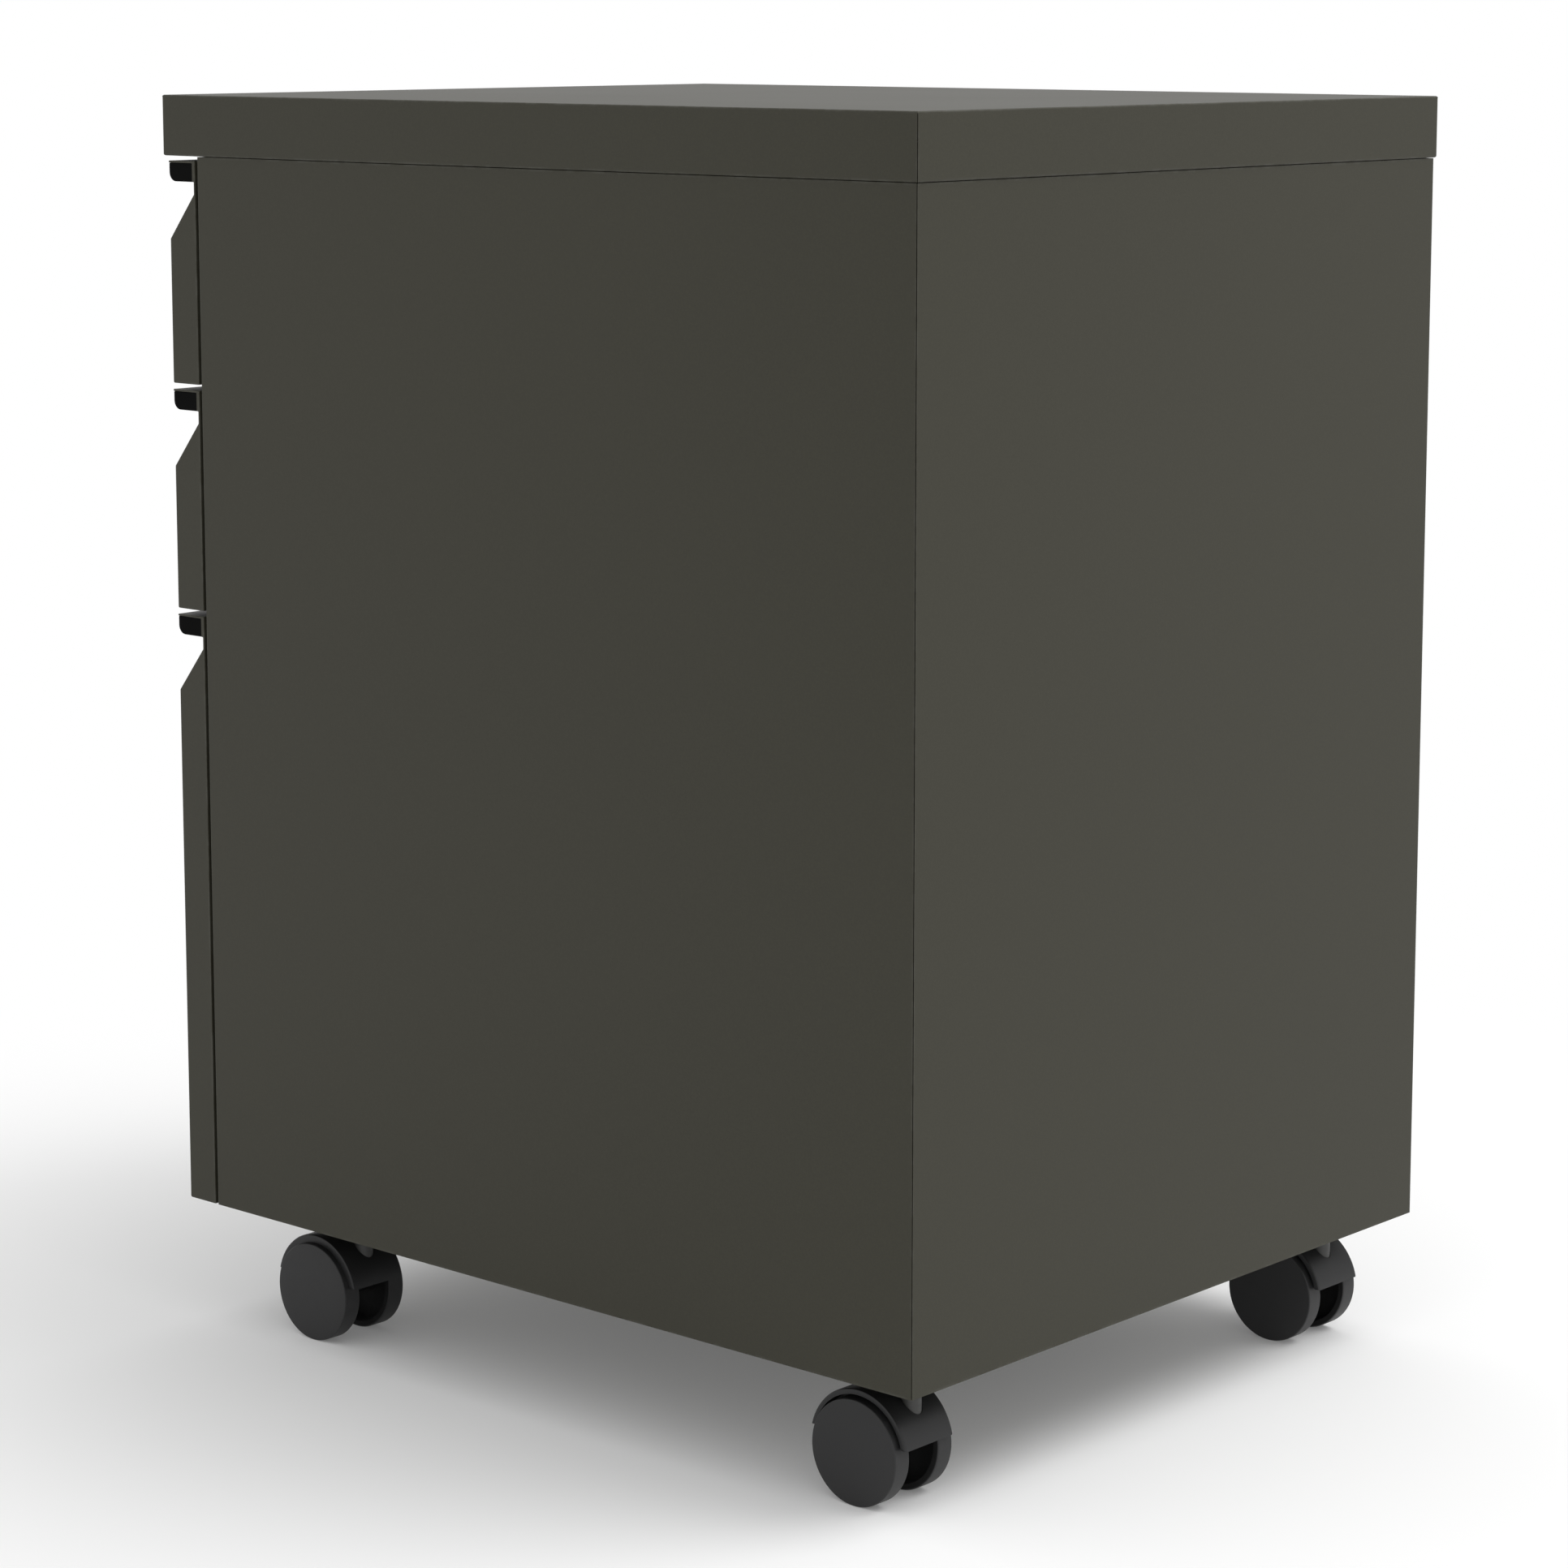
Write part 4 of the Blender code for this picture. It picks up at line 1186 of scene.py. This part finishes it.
def make_wheel(word, side_word, centre):
    """A smooth disc outside, a rim and a hub inside, on the floor all round."""
    casters = settings().casters
    side = SIDES[side_word]
    node = f"caster_{word}_wheel_{side_word}"
    low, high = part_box(node)
    width = high.x - low.x
    face = high.x if side > 0 else low.x
    radius = centre.z
    edge = casters.tread_edge
    face_fall = 0.00035    # how far the disc falls away from its middle to its edge
    shoulder = arc(edge, 75, 0, 5, (radius - edge, width - face_fall - edge))
    web = width - casters.web
    well = radius - casters.rim
    hub, hub_fillet, hub_chamfer = 0.0065, 0.001, 0.0004
    draft, fillet, fillet_height = 0.0004, 0.0012, 0.0006    # inside the rim
    bore = casters.axle_bore
    # (radius, height above the wheel's inner side), from the middle of the disc inwards
    profile = [
        (0, width), (radius * 0.5, width - 0.00002), (radius * 0.82, width - 0.00012),
        *shoulder,
        (radius, edge), (radius - edge / 2, 0),
        (well, 0), (well - draft, web - fillet_height), (well - fillet, web),
        (hub + hub_fillet, web), (hub, web - hub_fillet),
        (hub, hub_chamfer), (hub - hub_chamfer, 0), (bore, 0), (bore, web + FIT), (0, web + FIT),
    ]
    start = face - side * width
    heights = [(r, start + side * h) for r, h in profile]
    mesh = spun(heights, "X", (centre.y, centre.z), casters.facets)
    nylon = wheel_nylon(f"nylon_{word}_{side_word}", centre, abs(face - centre.x))
    name = f"wheel_{word}_{side_word}"
    place_piece(name, mesh, nylon, name, [node])


def make_axle(word, centre):
    """A plain pin with chamfered ends through both wheels."""
    node = f"caster_{word}_axle"
    low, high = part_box(node)
    radius = (high.z - low.z) / 2
    chamfer = 0.0004
    profile = [
        (0, high.x), (radius - chamfer, high.x), (radius, high.x - chamfer),
        (radius, low.x + chamfer), (radius - chamfer, low.x), (0, low.x),
    ]
    mesh = spun(profile, "X", (centre.y, centre.z), 32)
    place_shared("axle_" + word, mesh, "caster_" + word, [node])


def make_stem(word, centre, stem_y):
    """A turned shank with a grooved thread above its shoulder."""
    casters = settings().casters
    node = f"caster_{word}_stem"
    low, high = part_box(node)
    shank = (high.x - low.x) / 2
    thread = casters.thread
    pitch = casters.thread_pitch
    shoulder = UNDERSIDE - FIT
    chamfer = groove = 0.0005
    turns = []
    z = high.z - chamfer
    while z - pitch > UNDERSIDE + pitch:
        turns += [(thread, z), (thread - groove, z - pitch / 2)]
        z -= pitch
    profile = [
        (0, high.z), (thread - chamfer, high.z), *turns, (thread, z), (thread, shoulder),
        (shank - chamfer, shoulder), (shank, shoulder - chamfer), (shank, low.z + chamfer),
        (shank - chamfer, low.z), (0, low.z),
    ]
    mesh = spun(profile, "Z", (centre.x, stem_y), 48)
    place_shared("stem_" + word, mesh, "cabinet", [node], "stem_steel")


def make_screws(word):
    """Pan heads inside a drawer: on its front wall and where its runners are fixed."""
    drawers = settings().drawers
    sheet = settings().steel.sheet
    low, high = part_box(word + "_box")
    common = {"Radius": drawers.screw, "Height": 0.0020, "Material": shared_finish("zinc")}
    rows, row_step = (3, 0.100) if word == "file" else (2, 0.040)
    half_span, first_row = 0.120, 0.022
    first_fixing, fixing_step = 0.045, 0.150
    parts = [repeated(screw_tree(), {
        "Start": (-half_span, low.y + sheet, low.z + first_row),
        "Step": (2 * half_span, 0, 0), "Count": 2,
        "Row Step": (0, 0, row_step), "Rows": rows, "Turn": (-pi / 2, 0, 0), **common,
    })]
    z = middle(f"{word}_runner_inner_right").z
    for side in SIDES.values():
        parts.append(repeated(screw_tree(), {
            "Start": (side * (high.x - sheet), low.y + first_fixing, z),
            "Step": (0, fixing_step, 0), "Count": 3, "Rows": 1,
            "Turn": (0, -side * pi / 2, 0), **common,
        }))
    place_shared(word + "_drawer_screws", joined(parts), "drawer_" + word, [])


def make_welds():
    """Spot welds under the floor, where the flanges of the cross channels are joined to it."""
    foot = settings().steel.channel_foot
    paint = bpy.data.materials["floor_paint"]
    count, step, weld = 7, 0.044, 0.0026
    parts = []
    for word in ("front", "rear"):
        low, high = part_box("caster_channel_" + word)
        parts.append(repeated(bead_tree(), {
            "Start": (-step * (count - 1) / 2, low.y + foot / 2, UNDERSIDE),
            "Step": (step, 0, 0), "Count": count,
            "Row Step": (0, high.y - low.y - foot, 0), "Rows": 2, "Radius": weld,
            "Material": paint, "Scale": (1, 1, 0.1),
        }))
    place_piece("floor_welds", joined(parts), paint, "cabinet", [], 60)


# --------------------------------------------------------------------- stage

WHITE = (1, 1, 1, 1)
FLOOR_RADIUS = 30
KEY_PLACE, KEY_TARGET, KEY_SIZE = Vector((-0.9, 1.8, 3.0)), Vector((0, 0, 0.3)), 2.2
CAMERA_PLACE = (1.5482, 1.3735, 0.6619)
CAMERA_AIM = Vector((-0.7381, -0.6584, -0.1477))


def placed(name, data, place=(0, 0, 0), aim=None):
    """A stage object at a place, its own -Z turned along the aim."""
    thing = bpy.data.objects.new(name, data)
    thing.location = place
    if aim:
        thing.rotation_euler = aim.to_track_quat("-Z", "Y").to_euler()
    bpy.context.scene.collection.objects.link(thing)
    return thing


def blend(tree, factor, first, second, output):
    """Send a mix of two shaders to the tree's output."""
    both = add_node(tree, "ShaderNodeMixShader",
                    {0: factor, 1: first.outputs[0], 2: second.outputs[0]})
    add_node(tree, output, {"Surface": both.outputs[0]})


def make_floor():
    """A pale floor round the cabinet that fades to white further out."""
    stage = settings().stage
    bm = bmesh.new()
    bmesh.ops.create_circle(bm, cap_ends=True, segments=128, radius=FLOOR_RADIUS)
    floor = placed("floor", finished(bm))
    material = bpy.data.materials.new("pale_floor")
    material.use_nodes = True
    tree = material.node_tree
    tree.nodes.clear()
    coordinates = tree.nodes.new("ShaderNodeTexCoord").outputs["Object"]
    away = vector_node(tree, "LENGTH", coordinates).outputs["Value"]
    fade = ramp(tree, away, stage.floor_near, stage.floor_far, stage.glow, 1.0)
    matt = add_node(tree, "ShaderNodeBsdfDiffuse", {"Color": (*stage.floor, 1)})
    glow = add_node(tree, "ShaderNodeEmission", {"Color": WHITE, "Strength": 1.0})
    blend(tree, fade, matt, glow, "ShaderNodeOutputMaterial")
    floor.data.materials.append(material)


def make_world():
    """White to the eye, and a softer light on the things in it."""
    stage = settings().stage
    world = bpy.data.worlds.new("studio")
    bpy.context.scene.world = world
    world.use_nodes = True
    tree = world.node_tree
    tree.nodes.clear()
    direction = tree.nodes.new("ShaderNodeTexCoord").outputs["Generated"]
    height = add_node(tree, "ShaderNodeSeparateXYZ", {0: direction}).outputs[2]
    strength = ramp(tree, height, 0.0, 0.9, stage.sky_low, stage.sky_high)
    seen = tree.nodes.new("ShaderNodeLightPath").outputs["Is Camera Ray"]
    light = add_node(tree, "ShaderNodeBackground", {"Color": WHITE, "Strength": strength})
    white = add_node(tree, "ShaderNodeBackground", {"Color": WHITE, "Strength": 1.0})
    blend(tree, seen, light, white, "ShaderNodeOutputWorld")


def make_key_light():
    """The big soft light over the cabinet's left side and its back."""
    light = bpy.data.lights.new("key", "AREA")
    light.shape = "DISK"
    light.size = KEY_SIZE
    light.energy = settings().stage.key
    placed("key", light, KEY_PLACE, KEY_TARGET - KEY_PLACE)


def make_camera():
    """A long lens with its frame shifted, aimed at the back and the right side."""
    stage = settings().stage
    camera = bpy.data.cameras.new("camera")
    camera.sensor_width = 36
    camera.lens = stage.lens
    camera.shift_y = stage.shift
    bpy.context.scene.camera = placed("camera", camera, CAMERA_PLACE, CAMERA_AIM)


# ----------------------------------------------------------------- operators


class PEDESTAL_OT_build_shell(bpy.types.Operator):
    """Build the cap, the side and back panels, the floor and the cross members"""

    bl_idname = "pedestal.build_shell"
    bl_label = "Shell"

    def execute(self, context):
        make_cap()
        make_side_panels()
        make_back_panel()
        make_base()
        make_cross_members()
        return {"FINISHED"}


class PEDESTAL_OT_build_fronts(bpy.types.Operator):
    """Build the drawer fronts"""

    bl_idname = "pedestal.build_fronts"
    bl_label = "Drawer fronts"

    def execute(self, context):
        for word in DRAWERS:
            make_front(word)
        return {"FINISHED"}


class PEDESTAL_OT_build_pulls(bpy.types.Operator):
    """Build the full-width pulls"""

    bl_idname = "pedestal.build_pulls"
    bl_label = "Pulls"

    def execute(self, context):
        for word in DRAWERS:
            make_pull(word)
        return {"FINISHED"}


class PEDESTAL_OT_build_boxes(bpy.types.Operator):
    """Build the drawer boxes and the rails for hanging folders"""

    bl_idname = "pedestal.build_boxes"
    bl_label = "Drawer boxes"

    def execute(self, context):
        for word in DRAWERS:
            make_box(word)
        make_hangers()
        return {"FINISHED"}


class PEDESTAL_OT_build_runners(bpy.types.Operator):
    """Build the telescopic runners with their ball cages"""

    bl_idname = "pedestal.build_runners"
    bl_label = "Runners"

    def execute(self, context):
        make_runners()
        return {"FINISHED"}


class PEDESTAL_OT_build_bumpers(bpy.types.Operator):
    """Build the pads behind the drawer fronts"""

    bl_idname = "pedestal.build_bumpers"
    bl_label = "Bumpers"

    def execute(self, context):
        for word in DRAWERS:
            make_bumpers(word)
        return {"FINISHED"}


class PEDESTAL_OT_build_casters(bpy.types.Operator):
    """Build the twin-wheel casters"""

    bl_idname = "pedestal.build_casters"
    bl_label = "Casters"

    def execute(self, context):
        for word, (centre, stem_y) in caster_centres().items():
            make_hood(word, centre, stem_y)
            make_axle(word, centre)
            make_stem(word, centre, stem_y)
            for side_word in SIDES:
                make_wheel(word, side_word, centre)
        return {"FINISHED"}


class PEDESTAL_OT_build_fasteners(bpy.types.Operator):
    """Build the screws in the drawers and the welds under the floor"""

    bl_idname = "pedestal.build_fasteners"
    bl_label = "Screws and welds"

    def execute(self, context):
        for word in DRAWERS:
            make_screws(word)
        make_welds()
        return {"FINISHED"}


class PEDESTAL_OT_build_stage(bpy.types.Operator):
    """Build the floor, the lights and the camera"""

    bl_idname = "pedestal.build_stage"
    bl_label = "Stage"

    def execute(self, context):
        context.scene.view_settings.view_transform = "Standard"
        make_floor()
        make_world()
        make_key_light()
        make_camera()
        return {"FINISHED"}


OPERATORS = (
    PEDESTAL_OT_build_shell,
    PEDESTAL_OT_build_fronts,
    PEDESTAL_OT_build_pulls,
    PEDESTAL_OT_build_boxes,
    PEDESTAL_OT_build_runners,
    PEDESTAL_OT_build_bumpers,
    PEDESTAL_OT_build_casters,
    PEDESTAL_OT_build_fasteners,
    PEDESTAL_OT_build_stage,
)


class Pedestal(bpy.types.PropertyGroup):
    """All the sizes and colours of the pedestal."""

    steel: PointerProperty(type=PedestalSteel)
    drawers: PointerProperty(type=PedestalDrawers)
    casters: PointerProperty(type=PedestalCasters)
    stage: PointerProperty(type=PedestalStage)


class PEDESTAL_PT_panel(bpy.types.Panel):
    """The pedestal's pieces and settings in the sidebar."""

    bl_label = "Filing Pedestal"
    bl_space_type = "VIEW_3D"
    bl_region_type = "UI"
    bl_category = "Pedestal"

    def draw(self, context):
        pedestal = context.scene.pedestal
        for word in ("steel", "drawers", "casters", "stage"):
            group = getattr(pedestal, word)
            box = self.layout.box()
            box.label(text=word.capitalize())
            for name in group.bl_rna.properties.keys():
                if name not in {"rna_type", "name"}:
                    box.prop(group, name)
        for operator in OPERATORS:
            self.layout.operator(operator.bl_idname)


CLASSES = (
    PedestalSteel, PedestalDrawers, PedestalCasters, PedestalStage, Pedestal,
    *OPERATORS, PEDESTAL_PT_panel,
)


def register():
    for cls in CLASSES:
        bpy.utils.register_class(cls)
    bpy.types.Scene.pedestal = PointerProperty(type=Pedestal)


def unregister():
    del bpy.types.Scene.pedestal
    for cls in reversed(CLASSES):
        bpy.utils.unregister_class(cls)


def main():
    """Build every piece in turn."""
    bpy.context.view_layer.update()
    register()
    for operator in OPERATORS:
        group, name = operator.bl_idname.split(".")
        getattr(getattr(bpy.ops, group), name)()


if __name__ == "__main__":
    main()
